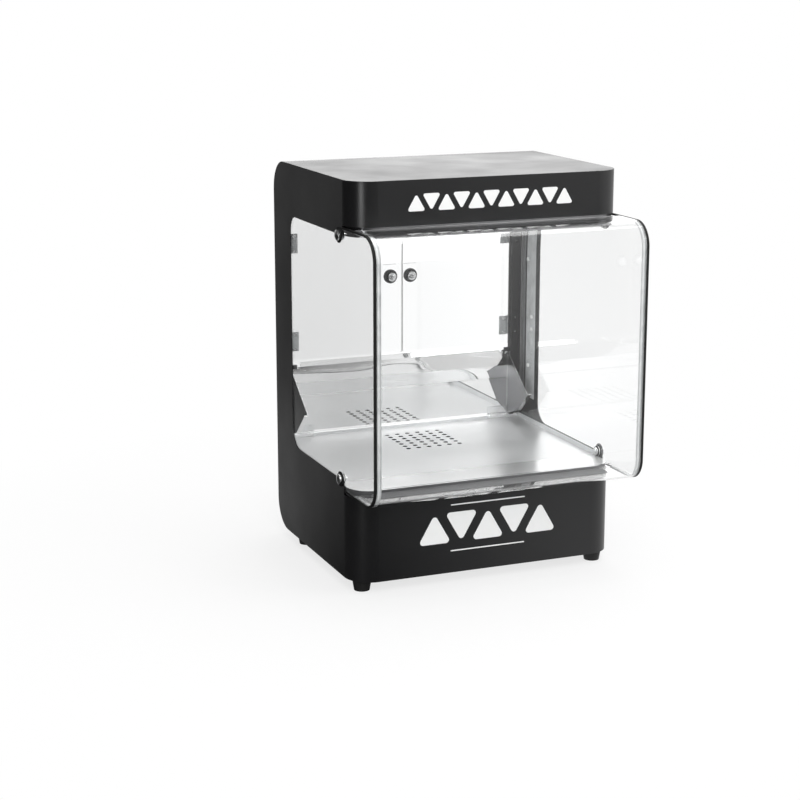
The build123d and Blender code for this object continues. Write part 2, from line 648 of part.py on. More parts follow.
with BuildPart() as foot_screws:
    bars_z(SCREW_HEAD_LOW, FOOT_RECESS_D, FOOT_SCREW_HEAD_R, list(FEET.values()))
    bars_z(SCREW_HEAD_LOW, FLOOR_Z + NUT_H + THREAD_END, FOOT_SCREW_R, list(FEET.values()))
    with BuildSketch(Plane.XY.offset(FLOOR_Z)):
        with Locations(*FEET.values()):
            RegularPolygon(NUT_HALF_W, 6, major_radius=False)
            Circle(FOOT_SCREW_R + TURN_AIR, mode=Mode.SUBTRACT)
    extrude(amount=NUT_H)
save(foot_screws, "foot_screws")

# ---------------------------------------------------------------- rear doors

KNUCKLE_H = (HINGE_H - 2 * GAP) / 3
LEAF_Y = DOOR_REAR + STEEL
KNUCKLE_LOW_Y = DOOR_AXIS_Y - KNUCKLE_R
LEAF_END_X = DOOR_AXIS_X - KNUCKLE_R - 2 * GAP
DOOR_SCREW_X = DOOR_X - HINGE_LEAF_W / 2 - 1.0
REAR_HEAD_Y = LEAF_Y + SMALL_HEAD_H


def door(side):
    """Clear rear door leaf with holes for its knob and hinges."""
    inner, outer = sorted((side * DOOR_SEAM / 2, side * DOOR_X))
    holes = [(side * KNOB_X, KNOB_Z)] + [(side * DOOR_SCREW_X, z) for z in HINGE_SCREW_ZS]
    with BuildPart() as leaf:
        with BuildSketch(Plane.XZ.offset(-DOOR_REAR)) as outline:
            rect(inner, outer, DOOR_LOW, DOOR_HIGH)
            fillet(outline.vertices(), DOOR_CORNER_R)
            with Locations(*holes):
                Circle(LEAF_SCREW_R + HOLE_AIR, mode=Mode.SUBTRACT)
        extrude(amount=PANE)
    return leaf


def hinge_knuckle(side, z_low, height):
    """One knuckle barrel on a door's hinge axis, before its bore."""
    bars_z(z_low, z_low + height, KNUCKLE_R, [(side * DOOR_AXIS_X, DOOR_AXIS_Y)])


def hinge_leaves(side):
    """Door halves of the two hinges: a joggled leaf with a knuckle at each end."""
    plate = [
        (side * (DOOR_X - HINGE_LEAF_W), DOOR_REAR),
        (side * (DOOR_X - 4 * STEEL), DOOR_REAR),
        (side * DOOR_X, KNUCKLE_LOW_Y),
        (side * LEAF_END_X, KNUCKLE_LOW_Y),
        (side * LEAF_END_X, KNUCKLE_LOW_Y + STEEL),
        (side * (DOOR_X - STEEL / 2), KNUCKLE_LOW_Y + STEEL),
        (side * (DOOR_X - 4.5 * STEEL), LEAF_Y),
        (side * (DOOR_X - HINGE_LEAF_W), LEAF_Y),
    ]
    inner, outer = sorted((side * (LEAF_END_X - STEEL), side * DOOR_AXIS_X))
    with BuildPart() as leaves:
        for middle in HINGE_HEIGHTS:
            bottom = middle - HINGE_H / 2
            with BuildSketch(Plane.XY.offset(bottom)):
                with BuildLine():
                    Polyline(*plate, close=True)
                make_face()
            extrude(amount=HINGE_H)
            for z_low in (bottom, bottom + HINGE_H - KNUCKLE_H):
                hinge_knuckle(side, z_low, KNUCKLE_H)
                block(inner, outer, KNUCKLE_LOW_Y, KNUCKLE_LOW_Y + STEEL, z_low, z_low + KNUCKLE_H)
            bars_z(bottom, bottom + HINGE_H, PIN_R + TURN_AIR, [(side * DOOR_AXIS_X, DOOR_AXIS_Y)],
                   Mode.SUBTRACT)
        screw_spots = [(side * DOOR_SCREW_X, z) for z in HINGE_SCREW_ZS]
        bars_y(DOOR_REAR, LEAF_Y, LEAF_SCREW_R + HOLE_AIR, screw_spots, Mode.SUBTRACT)
    return leaves


def knob(side):
    """Round black pull on the outside of a door."""
    spot = [(side * KNOB_X, KNOB_Z)]
    head_y = REAR_Y + KNOB_PROUD - KNOB_HEAD_L
    with BuildPart() as pull:
        bars_y(DOOR_REAR, head_y, KNOB_NECK_R, spot)
        domes([(side * KNOB_X, head_y, KNOB_Z)], (0, 1, 0), KNOB_HEAD_L, KNOB_R)
        bars_y(DOOR_REAR, head_y + KNOB_HEAD_L / 2, LEAF_SCREW_R + TURN_AIR, spot, Mode.SUBTRACT)
    return pull


def door_screws(side):
    """Hinge screws through a door leaf with their round nuts, and the knob's screw from inside."""
    hinge_spots = [(side * DOOR_SCREW_X, z) for z in HINGE_SCREW_ZS]
    knob_spot = [(side * KNOB_X, KNOB_Z)]
    with BuildPart() as screws:
        bars_y(LEAF_Y, REAR_HEAD_Y, SMALL_HEAD_R, hinge_spots)
        bars_y(DOOR_FRONT - SMALL_HEAD_H, LEAF_Y, LEAF_SCREW_R, hinge_spots)
        domes([(side * KNOB_X, DOOR_FRONT, KNOB_Z)], (0, -1, 0), KNOB_NUT_H, KNOB_NUT_R)
        bars_y(DOOR_FRONT, DOOR_REAR + 0.5 * KNOB_PROUD, LEAF_SCREW_R, knob_spot)
        with BuildSketch(Plane.XZ.offset(-DOOR_FRONT)):
            with Locations(*hinge_spots):
                Circle(SMALL_HEAD_R)
                Circle(LEAF_SCREW_R + TURN_AIR, mode=Mode.SUBTRACT)
        extrude(amount=SMALL_HEAD_H)
    return screws


for label, side in SIDES.items():
    save(door(side), f"door_{label}")
    save(hinge_leaves(side), f"door_{label}_hinge_leaves")
    save(knob(side), f"door_{label}_knob")
    save(door_screws(side), f"door_{label}_screws")

PLATE_END_X = DOOR_AXIS_X + HINGE_PLATE_W
PLATE_NOTCH_X = DOOR_AXIS_X + KNUCKLE_R + 2 * GAP

with BuildPart() as door_hinge_plates:
    for middle in HINGE_HEIGHTS:
        bottom = middle - HINGE_H / 2
        barrel_low = middle - KNUCKLE_H / 2
        block(PLATE_NOTCH_X, PLATE_END_X, REAR_Y, REAR_Y + STEEL, bottom, bottom + HINGE_H)
        block(DOOR_AXIS_X, PLATE_NOTCH_X, REAR_Y, REAR_Y + STEEL, barrel_low, barrel_low + KNUCKLE_H)
        hinge_knuckle(1, barrel_low, KNUCKLE_H)
        bars_z(bottom, bottom + HINGE_H, PIN_R + TURN_AIR, [(DOOR_AXIS_X, DOOR_AXIS_Y)], Mode.SUBTRACT)
    bars_y(REAR_Y, REAR_Y + STEEL, LEAF_SCREW_R + HOLE_AIR,
           [(HINGE_PLATE_SCREW_X, z) for z in HINGE_SCREW_ZS], Mode.SUBTRACT)
    mirror(about=Plane.YZ)
save(door_hinge_plates, "door_hinge_plates")

with BuildPart() as door_hinge_pins:
    for middle in HINGE_HEIGHTS:
        top = middle + HINGE_H / 2
        bars_z(top - HINGE_H, top, PIN_R, [(DOOR_AXIS_X, DOOR_AXIS_Y)])
        bars_z(top, top + PIN_CAP_H, PIN_CAP_R, [(DOOR_AXIS_X, DOOR_AXIS_Y)])
    mirror(about=Plane.YZ)
save(door_hinge_pins, "door_hinge_pins")


# ---------------------------------------------------------------- rear flap

CHEEK_TOP = FLAP_TOP - CHEEK_TOP_DROP
CHEEK_OUTLINE = [
    (FLAP_FRONT, CHEEK_TOP),
    (FLAP_REAR - CHEEK_REACH, OPENING_LOW + CHEEK_CORNER_RISE),
    (FLAP_REAR - CHEEK_HEEL_REACH, OPENING_LOW + CHEEK_HEEL_RISE),
    (FLAP_FRONT - 2 * STEEL, FLAP_AXIS_Z),
    (FLAP_FRONT, FLAP_LOW),
]
STRIKES = [(s * (FLAP_X - STRIKE_INSET), FLAP_TOP - STRIKE_DROP) for s in (-1, 1)]
EDGE_RUN = CHEEK_REACH - CHEEK_HEEL_REACH
EDGE_RISE = CHEEK_CORNER_RISE - CHEEK_HEEL_RISE
EDGE_LENGTH = math.hypot(EDGE_RUN, EDGE_RISE)
INWARD = (EDGE_RISE / EDGE_LENGTH * STEEL, EDGE_RUN / EDGE_LENGTH * STEEL)
STOP_OUTLINE = [
    CHEEK_OUTLINE[1],
    CHEEK_OUTLINE[2],
    (CHEEK_OUTLINE[2][0] + INWARD[0], CHEEK_OUTLINE[2][1] + INWARD[1]),
    (CHEEK_OUTLINE[1][0] + INWARD[0], CHEEK_OUTLINE[1][1] + INWARD[1]),
]
LIP_OUTLINE = [
    (FLAP_FRONT, FLAP_TOP),
    (FLAP_REAR, FLAP_TOP),
    (FLAP_REAR + FLAP_LIP_LEAN, FLAP_TOP + FLAP_LIP_H),
    (FLAP_FRONT + FLAP_LIP_LEAN, FLAP_TOP + FLAP_LIP_H),
]


def side_profile(x0, x1, points):
    """Sheet cut to an outline in the YZ plane, from x0 to x1."""
    with BuildSketch(Plane.YZ.offset(x0)) as outline:
        with BuildLine():
            Polyline(*points, close=True)
        make_face()
    extrude(outline.sketch, amount=x1 - x0)


with BuildPart() as rear_flap:
    block(-FLAP_X, FLAP_X, FLAP_FRONT, FLAP_REAR, FLAP_LOW, FLAP_TOP)
    side_profile(FLAP_LIP_INSET - FLAP_X, FLAP_X - FLAP_LIP_INSET, LIP_OUTLINE)
    for s in (-1, 1):
        inner, outer = sorted((s * (FLAP_X - STEEL), s * FLAP_X))
        side_profile(inner, outer, CHEEK_OUTLINE)
        inner, outer = sorted((s * (FLAP_X - STEEL), s * (FLAP_X + STOP_FLANGE)))
        side_profile(inner, outer, STOP_OUTLINE)
    bars_y(FLAP_FRONT, FLAP_REAR, LEAF_SCREW_R + HOLE_AIR, STRIKES, Mode.SUBTRACT)
save(rear_flap, "rear_flap")

FLAP_KNUCKLE_L = (FLAP_HINGE_L - 2 * GAP) / 3
FLAP_BARREL = [(FLAP_AXIS_Y, FLAP_AXIS_Z)]
LEAF_FRONT = FLAP_FRONT - STEEL
FLAP_LEAF_LOW = FLAP_AXIS_Z + FLAP_KNUCKLE_R + GAP
HINGE_X0 = FLAP_HINGE_X - FLAP_HINGE_L / 2

with BuildPart() as flap_hinge_leaves:
    block(HINGE_X0, HINGE_X0 + FLAP_HINGE_L, LEAF_FRONT, FLAP_FRONT,
          FLAP_LEAF_LOW, FLAP_LEAF_LOW + FLAP_LEAF_H)
    for x0 in (HINGE_X0, HINGE_X0 + FLAP_HINGE_L - FLAP_KNUCKLE_L):
        bars_x(x0, x0 + FLAP_KNUCKLE_L, FLAP_KNUCKLE_R, FLAP_BARREL)
        block(x0, x0 + FLAP_KNUCKLE_L, LEAF_FRONT, FLAP_FRONT, FLAP_AXIS_Z, FLAP_LEAF_LOW)
    bars_x(HINGE_X0, HINGE_X0 + FLAP_HINGE_L, FLAP_PIN_R + TURN_AIR, FLAP_BARREL, Mode.SUBTRACT)
    mirror(about=Plane.YZ)
save(flap_hinge_leaves, "flap_hinge_leaves")

with BuildPart() as flap_hinge_plates:
    barrel_x = FLAP_HINGE_X - FLAP_KNUCKLE_L / 2
    plate_low = OPENING_LOW - SILL_PLATE_H
    block(HINGE_X0, HINGE_X0 + FLAP_HINGE_L, SILL_FRONT - STEEL, SILL_FRONT, plate_low, OPENING_LOW)
    block(barrel_x, barrel_x + FLAP_KNUCKLE_L, SILL_FRONT - STEEL, SILL_FRONT, OPENING_LOW, FLAP_AXIS_Z)
    bars_x(barrel_x, barrel_x + FLAP_KNUCKLE_L, FLAP_KNUCKLE_R, FLAP_BARREL)
    bars_x(HINGE_X0, HINGE_X0 + FLAP_HINGE_L, FLAP_PIN_R + TURN_AIR, FLAP_BARREL, Mode.SUBTRACT)
    bars_y(SILL_FRONT - STEEL, SILL_FRONT, LEAF_SCREW_R + HOLE_AIR, SILL_SCREWS[1:], Mode.SUBTRACT)
    mirror(about=Plane.YZ)
save(flap_hinge_plates, "flap_hinge_plates")

with BuildPart() as flap_hinge_pins:
    bars_x(HINGE_X0, HINGE_X0 + FLAP_HINGE_L, FLAP_PIN_R, FLAP_BARREL)
    mirror(about=Plane.YZ)
save(flap_hinge_pins, "flap_hinge_pins")

with BuildPart() as hinge_plate_screws:
    plate_spots = [(s * HINGE_PLATE_SCREW_X, z) for s in (-1, 1) for z in HINGE_SCREW_ZS]
    bars_y(REAR_Y + STEEL, REAR_Y + STEEL + SMALL_HEAD_H, SMALL_HEAD_R, plate_spots)
    bars_y(WALL_Y - STEEL, REAR_Y + STEEL, LEAF_SCREW_R, plate_spots)
    bars_y(SILL_FRONT - STEEL - SMALL_HEAD_H, SILL_FRONT - STEEL, SILL_HEAD_R, SILL_SCREWS)
    bars_y(SILL_FRONT - STEEL, SILL_FRONT + STEEL, LEAF_SCREW_R, SILL_SCREWS)
save(hinge_plate_screws, "hinge_plate_screws")

with BuildPart() as flap_catches:
    catch_low = FLAP_TOP - CATCH_DROP
    block(OPEN_X - CATCH_W, OPEN_X, LIP_Y, FLAP_FRONT - GAP, catch_low, catch_low + CATCH_H)
    mirror(about=Plane.YZ)
save(flap_catches, "flap_catches")

with BuildPart() as flap_studs:
    bars_y(FLAP_FRONT - SMALL_HEAD_H, FLAP_FRONT, SMALL_HEAD_R, STRIKES)
    bars_y(FLAP_FRONT, FLAP_REAR, LEAF_SCREW_R, STRIKES)
    bars_y(FLAP_REAR, FLAP_REAR + SMALL_HEAD_H, SMALL_HEAD_R, STRIKES)
save(flap_studs, "flap_studs")

# ---------------------------------------------------------------- warm air unit

FAN_CORNERS = [(sx * FAN_HOLE, VENT_Y + sy * FAN_HOLE) for sx in (-1, 1) for sy in (-1, 1)]

with BuildPart() as fan_frame:
    with BuildSketch(Plane.XY.offset(FAN_LOW)) as square:
        with Locations((0, VENT_Y)):
            Rectangle(FAN_SIZE, FAN_SIZE)
        fillet(square.vertices(), FAN_CORNER_R)
        with Locations((0, VENT_Y)):
            Circle(FAN_BORE_R, mode=Mode.SUBTRACT)
    extrude(amount=FAN_T)
    with BuildSketch(Plane.XY.offset(FAN_LOW)):
        with Locations((0, VENT_Y)):
            Circle(HUB_R)
            with PolarLocations(0, 2):
                Rectangle(2 * FAN_BORE_R + FAN_ARM_W, FAN_ARM_W, rotation=45)
                Rectangle(2 * FAN_BORE_R + FAN_ARM_W, FAN_ARM_W, rotation=-45)
    extrude(amount=MOTOR_BASE)
    bars_z(FAN_LOW, FAN_LOW + MOTOR_BASE, FAN_SHAFT_R + TURN_AIR, [(0, VENT_Y)], Mode.SUBTRACT)
    bars_z(FAN_LOW, FAN_TOP, STUD_R + HOLE_AIR, FAN_CORNERS, Mode.SUBTRACT)
save(fan_frame, "fan_frame")

with BuildPart() as blade:
    root = Plane(origin=(HUB_R - BLADE_ROOT_IN, 0, 0), x_dir=(0, 1, 0), z_dir=(1, 0, 0))
    tip = Plane(origin=(BLADE_TIP_R, 0, 0), x_dir=(0, 1, 0), z_dir=(1, 0, 0))
    with BuildSketch(root):
        Rectangle(BLADE_ROOT_W, BLADE_T, rotation=BLADE_ROOT_TURN)
    with BuildSketch(tip):
        Rectangle(BLADE_TIP_W, BLADE_T, rotation=BLADE_TIP_TURN)
    loft()

HUB_LOW = FAN_LOW + MOTOR_BASE + GAP
HUB_TOP = FAN_TOP - HUB_DROP

with BuildPart() as fan_rotor:
    bars_z(HUB_LOW, HUB_TOP, HUB_R, [(0, VENT_Y)])
    bars_z(FAN_LOW + GAP, HUB_LOW, FAN_SHAFT_R, [(0, VENT_Y)])
    with Locations((0, VENT_Y, (HUB_LOW + HUB_TOP) / 2)):
        with PolarLocations(0, BLADES):
            add(blade.part)
save(fan_rotor, "fan_rotor")

with BuildPart() as fan_standoffs:
    bars_z(FLOOR_Z, FAN_LOW, STANDOFF_R, FAN_CORNERS)
    bars_z(FLOOR_Z + THREAD_END, FAN_LOW, STUD_R + TURN_AIR, FAN_CORNERS, Mode.SUBTRACT)
save(fan_standoffs, "fan_standoffs")

with BuildPart() as fan_screws:
    bars_z(FLOOR_Z + 2 * THREAD_END, FAN_TOP, STUD_R, FAN_CORNERS)
    bars_z(FAN_TOP, FAN_TOP + FAN_SCREW_HEAD_H, FAN_SCREW_HEAD_R, FAN_CORNERS)
save(fan_screws, "fan_screws")

ELEMENT_ROWS = [VENT_Y + row * ELEMENT_PITCH for row in (-1.5, -0.5, 0.5, 1.5)]
ELEMENT_X = DUCT_HALF - ELEMENT_SIDE_AIR
ELEMENT_OUT = DUCT_HALF + ELEMENT_TAIL
ELEMENT_BEND = ELEMENT_PITCH / 2 - GAP

with BuildPart() as heater_duct:
    with BuildSketch(Plane.XY.offset(FAN_TOP)):
        with Locations((0, VENT_Y)):
            Rectangle(2 * (DUCT_HALF + STEEL), 2 * (DUCT_HALF + STEEL))
            Rectangle(2 * DUCT_HALF, 2 * DUCT_HALF, mode=Mode.SUBTRACT)
    extrude(amount=DECK_LOW - FAN_TOP)
    element_ends = [(ELEMENT_ROWS[0], ELEMENT_Z), (ELEMENT_ROWS[-1], ELEMENT_Z)]
    bars_x(DUCT_HALF, DUCT_HALF + STEEL, ELEMENT_R + HOLE_AIR, element_ends, Mode.SUBTRACT)
save(heater_duct, "heater_duct")

with BuildPart() as heating_element:
    with BuildLine() as route:
        FilletPolyline(
            (ELEMENT_OUT, ELEMENT_ROWS[0], ELEMENT_Z),
            (-ELEMENT_X, ELEMENT_ROWS[0], ELEMENT_Z),
            (-ELEMENT_X, ELEMENT_ROWS[1], ELEMENT_Z),
            (ELEMENT_X, ELEMENT_ROWS[1], ELEMENT_Z),
            (ELEMENT_X, ELEMENT_ROWS[2], ELEMENT_Z),
            (-ELEMENT_X, ELEMENT_ROWS[2], ELEMENT_Z),
            (-ELEMENT_X, ELEMENT_ROWS[3], ELEMENT_Z),
            (ELEMENT_OUT, ELEMENT_ROWS[3], ELEMENT_Z),
            radius=ELEMENT_BEND,
        )
    with BuildSketch(Plane.YZ.offset(ELEMENT_OUT)):
        with Locations((ELEMENT_ROWS[0], ELEMENT_Z)):
            Circle(ELEMENT_R)
    sweep(path=route.wires()[0])
save(heating_element, "heating_element")

with BuildPart() as thermal_cutout:
    wall_x = -DUCT_HALF - STEEL
    cutout_z = ELEMENT_Z + CUTOUT_LIFT
    flange_w, flange_h, flange_t = CUTOUT_FLANGE
    tag_l, tag_t, tag_h = CUTOUT_TAG
    block(wall_x - flange_t, wall_x, VENT_Y - flange_w / 2, VENT_Y + flange_w / 2,
          cutout_z - flange_h / 2, cutout_z + flange_h / 2)
    can_end = wall_x - flange_t - CUTOUT_L
    bars_x(can_end, wall_x - flange_t, CUTOUT_R, [(VENT_Y, cutout_z)])
    for tag_y in (VENT_Y - CUTOUT_TAG_PITCH / 2, VENT_Y + CUTOUT_TAG_PITCH / 2):
        block(can_end - tag_l, can_end, tag_y - tag_t / 2, tag_y + tag_t / 2,
              cutout_z - tag_h / 2, cutout_z + tag_h / 2)
save(thermal_cutout, "thermal_cutout")

with BuildPart() as terminal_block:
    block_x = INLET_X - TERMINAL_INSET
    low = FLOOR_Z
    for width, height in (TERMINAL_BASE, TERMINAL_RIDGE):
        block(block_x - TERMINAL_L / 2, block_x + TERMINAL_L / 2,
              VENT_Y - width / 2, VENT_Y + width / 2, low, low + height)
        low += height
    with BuildSketch(Plane.XY.offset(low)):
        with Locations((block_x, VENT_Y)):
            with GridLocations(TERMINAL_PITCH, 0, TERMINALS, 1):
                Circle(TERMINAL_BORE_R)
    extrude(amount=-TERMINAL_BORE_D, mode=Mode.SUBTRACT)
save(terminal_block, "terminal_block")

# ---------------------------------------------------------------- controls


def on_wall(x, width, height, y0, y1, mode=Mode.ADD):
    """Box centred on a control's place on the rear wall."""
    block(x - width / 2, x + width / 2, y0, y1, CONTROL_Z - height / 2, CONTROL_Z + height / 2, mode)


with BuildPart() as power_inlet:
    on_wall(INLET_X, INLET_FLANGE[0], INLET_FLANGE[1], REAR_Y, REAR_Y + INLET_FLANGE[2])
    fillet(power_inlet.edges().filter_by(Axis.Y), INLET_CORNER_R)
    on_wall(INLET_X, INLET_BODY[0], INLET_BODY[1], REAR_Y - INLET_BODY[2], REAR_Y)
    socket_high = REAR_Y + INLET_FLANGE[2]
    socket_low = socket_high - SOCKET_D
    on_wall(INLET_X, INLET_BODY[0] - 2 * SOCKET_WALL, INLET_BODY[1] - 2 * SOCKET_WALL,
            socket_low, socket_high, Mode.SUBTRACT)
    pin_w, pin_l, pin_h = PIN_SIZE
    for dx, dz in PIN_PLACES:
        block(INLET_X + dx - pin_w / 2, INLET_X + dx + pin_w / 2, socket_low, socket_low + pin_l,
              CONTROL_Z + dz - pin_h / 2, CONTROL_Z + dz + pin_h / 2)
    bars_y(REAR_Y, REAR_Y + INLET_FLANGE[2], LEAF_SCREW_R + HOLE_AIR, inlet_holes, Mode.SUBTRACT)
save(power_inlet, "power_inlet")

with BuildPart() as inlet_screws:
    inlet_face = REAR_Y + INLET_FLANGE[2]
    bars_y(inlet_face, inlet_face + SMALL_HEAD_H, SMALL_HEAD_R, inlet_holes)
    bars_y(WALL_Y - 2 * STEEL, inlet_face, LEAF_SCREW_R, inlet_holes)
save(inlet_screws, "inlet_screws")

PIVOT_Y = REAR_Y - ROCKER_PIVOT_IN
STUB_X = ROCKER_OPEN[0] / 2 + ROCKER_STUB


def switch_body(x):
    """Switch housing with its bezel and the well that the rocker turns in."""
    with BuildPart() as housing:
        on_wall(x, SWITCH_BEZEL[0], SWITCH_BEZEL[1], REAR_Y, REAR_Y + SWITCH_BEZEL[2])
        on_wall(x, SWITCH_BODY[0], SWITCH_BODY[1], REAR_Y - SWITCH_BODY[2], REAR_Y)
        on_wall(x, ROCKER_OPEN[0], ROCKER_OPEN[1],
                REAR_Y - ROCKER_WELL, REAR_Y + SWITCH_BEZEL[2], Mode.SUBTRACT)
        bars_x(x - STUB_X - SEAT, x + STUB_X + SEAT, ROCKER_PIVOT_R + TURN_AIR, [(PIVOT_Y, CONTROL_Z)],
               Mode.SUBTRACT)
        for tag_x in (x - SWITCH_TAG_PITCH / 2, x + SWITCH_TAG_PITCH / 2):
            on_wall(tag_x, SWITCH_TAG[0], SWITCH_TAG[2], REAR_Y - SWITCH_BODY[2] - SWITCH_TAG[1],
                    REAR_Y - SWITCH_BODY[2])
    return housing


def rocker(x):
    """Switch rocker with its pivot stubs, resting with the lower end pressed in."""
    tilt = math.radians(-ROCKER_TILT)
    plane = Plane(origin=(x - ROCKER_W / 2, PIVOT_Y, CONTROL_Z),
                  x_dir=(0, math.cos(tilt), math.sin(tilt)), z_dir=(1, 0, 0))
    with BuildPart() as key:
        with BuildSketch(plane):
            with BuildLine():
                Polyline(
                    (ROCKER_TOP, -ROCKER_HALF),
                    (ROCKER_TOP - ROCKER_DISH, 0),
                    (ROCKER_TOP, ROCKER_HALF),
                    (0, ROCKER_HALF),
                )
                ThreePointArc((0, ROCKER_HALF), (-ROCKER_BELLY, 0), (0, -ROCKER_HALF))
                Line((0, -ROCKER_HALF), (ROCKER_TOP, -ROCKER_HALF))
            make_face()
        extrude(amount=ROCKER_W)
        bars_x(x - STUB_X, x + STUB_X, ROCKER_PIVOT_R, [(PIVOT_Y, CONTROL_Z)])
    return key


for label, x in SWITCH_XS.items():
    save(switch_body(x), f"{label}_switch_body")
    save(rocker(x), f"{label}_switch_rocker")

# ---------------------------------------------------------------- lamp

with BuildPart() as lamp_diffuser:
    block(-LAMP_HALF - LAMP_LAP, LAMP_HALF + LAMP_LAP,
          LAMP_Y - LAMP_WINDOW / 2 - LAMP_LAP, LAMP_Y + LAMP_WINDOW / 2 + LAMP_LAP, HEAD_LOW, HEAD_LOW + PANE)
save(lamp_diffuser, "lamp_diffuser")

REFLECTOR_HALF = LAMP_HALF + LAMP_LAP + GAP
REFLECTOR_Y = LAMP_WINDOW / 2 + LAMP_LAP + GAP + STEEL

with BuildPart() as lamp_reflector:
    with BuildSketch(Plane.YZ.offset(-REFLECTOR_HALF)):
        with BuildLine():
            Polyline(
                (LAMP_Y - REFLECTOR_Y - REFLECTOR_FLANGE, HEAD_LOW + STEEL),
                (LAMP_Y - REFLECTOR_Y, HEAD_LOW + STEEL),
                (LAMP_Y - REFLECTOR_Y, HEAD_LOW + PANE),
            )
            ThreePointArc(
                (LAMP_Y - REFLECTOR_Y, HEAD_LOW + PANE),
                (LAMP_Y, HEAD_LOW + REFLECTOR_R),
                (LAMP_Y + REFLECTOR_Y, HEAD_LOW + PANE),
            )
            Polyline(
                (LAMP_Y + REFLECTOR_Y, HEAD_LOW + PANE),
                (LAMP_Y + REFLECTOR_Y, HEAD_LOW + STEEL),
                (LAMP_Y + REFLECTOR_Y + REFLECTOR_FLANGE, HEAD_LOW + STEEL),
            )
            offset(amount=STEEL, side=Side.RIGHT)
        make_face()
    extrude(amount=2 * REFLECTOR_HALF)
save(lamp_reflector, "lamp_reflector")

HOLDER_X = LAMP_HALF + LAMP_LAP - HOLDER_T
TUBE_Z = HEAD_LOW + PANE + TUBE_RISE

with BuildPart() as lamp_holders:
    block(HOLDER_X, HOLDER_X + HOLDER_T, LAMP_Y - HOLDER_W / 2, LAMP_Y + HOLDER_W / 2,
          HEAD_LOW + PANE, TUBE_Z + HOLDER_OVER_TUBE)
    bars_x(HOLDER_X, HOLDER_X + HOLDER_T / 2, TUBE_R / 2 + TURN_AIR, [(LAMP_Y, TUBE_Z)], Mode.SUBTRACT)
    mirror(about=Plane.YZ)
save(lamp_holders, "lamp_holders")

with BuildPart() as lamp_tube:
    bars_x(-HOLDER_X, HOLDER_X, TUBE_R, [(LAMP_Y, TUBE_Z)])
    bars_x(-HOLDER_X - TUBE_CAP_L, HOLDER_X + TUBE_CAP_L, TUBE_R / 2, [(LAMP_Y, TUBE_Z)])
save(lamp_tube, "lamp_tube")
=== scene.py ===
import json
import math

import bmesh
import bpy
from mathutils import Matrix, Vector


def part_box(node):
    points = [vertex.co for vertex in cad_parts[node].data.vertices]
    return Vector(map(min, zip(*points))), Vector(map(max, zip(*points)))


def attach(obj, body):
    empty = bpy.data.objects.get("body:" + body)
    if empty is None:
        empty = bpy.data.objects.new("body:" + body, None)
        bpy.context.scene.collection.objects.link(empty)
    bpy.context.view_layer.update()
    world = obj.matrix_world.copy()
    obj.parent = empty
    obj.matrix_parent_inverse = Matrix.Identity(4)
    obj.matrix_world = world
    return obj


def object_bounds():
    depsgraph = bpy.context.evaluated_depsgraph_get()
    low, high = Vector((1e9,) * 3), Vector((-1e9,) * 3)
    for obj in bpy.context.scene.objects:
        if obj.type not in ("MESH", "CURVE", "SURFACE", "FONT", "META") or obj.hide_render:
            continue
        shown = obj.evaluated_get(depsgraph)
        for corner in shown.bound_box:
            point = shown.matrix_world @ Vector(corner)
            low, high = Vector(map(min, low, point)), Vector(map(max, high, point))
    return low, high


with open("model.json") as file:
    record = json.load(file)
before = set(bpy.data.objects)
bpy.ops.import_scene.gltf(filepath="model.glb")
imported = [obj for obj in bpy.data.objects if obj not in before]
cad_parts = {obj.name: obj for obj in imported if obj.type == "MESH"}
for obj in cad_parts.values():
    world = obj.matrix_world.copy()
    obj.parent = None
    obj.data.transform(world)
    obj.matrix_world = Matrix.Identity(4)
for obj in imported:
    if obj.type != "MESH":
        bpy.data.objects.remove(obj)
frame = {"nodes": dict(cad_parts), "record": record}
cad_low, cad_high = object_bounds()

# The frame is in metres: +X to the right seen from the front, +Y to the rear doors, +Z up.
MM = 0.001
NODES = frame["nodes"]

# Camera at the photograph's angle, for an image of 800 x 800
CAMERA_PLACE = (-1.308, -2.944, 1.0505)
CAMERA_YAW = 0.3893
CAMERA_PITCH = 0.2332
FOCAL_PIXELS = 1861.8
IMAGE_PIXELS = 800
SENSOR_MM = 36.0

# ---------------------------------------------------------------- node helpers


def new_material(name):
    """An empty node material with its output node."""
    made = bpy.data.materials.new(name)
    made.use_nodes = True
    made.node_tree.nodes.clear()
    made.node_tree.nodes.new("ShaderNodeOutputMaterial")
    return made


def finish_surface(material, shader):
    """Links a shader to the material's output."""
    tree = material.node_tree
    tree.links.new(shader, tree.nodes["Material Output"].inputs["Surface"])
    return material


def add_node(tree, kind, inputs=None, **settings):
    """A node with its settings and its inputs, each a value or an output to link."""
    made = tree.nodes.new(kind)
    for key, value in settings.items():
        setattr(made, key, value)
    for key, value in (inputs or {}).items():
        if isinstance(value, bpy.types.NodeSocket):
            tree.links.new(value, made.inputs[key])
        else:
            made.inputs[key].default_value = value
    return made


def principled(tree, inputs):
    """The output of a Principled shader."""
    return add_node(tree, "ShaderNodeBsdfPrincipled", inputs).outputs[0]


def calculate(tree, operation, first, second=0.0, clamp=False):
    """The result of a Math node."""
    made = add_node(tree, "ShaderNodeMath", {0: first, 1: second},
                    operation=operation, use_clamp=clamp)
    return made.outputs[0]


def spread(tree, value, low, high, start=0.3, end=0.7):
    """A value spread over a range: low at the start and below it, high at the end and above."""
    made = add_node(tree, "ShaderNodeMapRange", {
        "Value": value, "From Min": start, "From Max": end, "To Min": low, "To Max": high})
    return made.outputs["Result"]


def blend_colours(tree, share, low, high):
    """A colour between two, each three numbers or an output, by a share from 0 to 1."""
    first, second = (
        end if isinstance(end, bpy.types.NodeSocket) else (*end, 1) for end in (low, high))
    made = add_node(tree, "ShaderNodeMix", {0: share, 6: first, 7: second}, data_type="RGBA")
    return made.outputs[2]


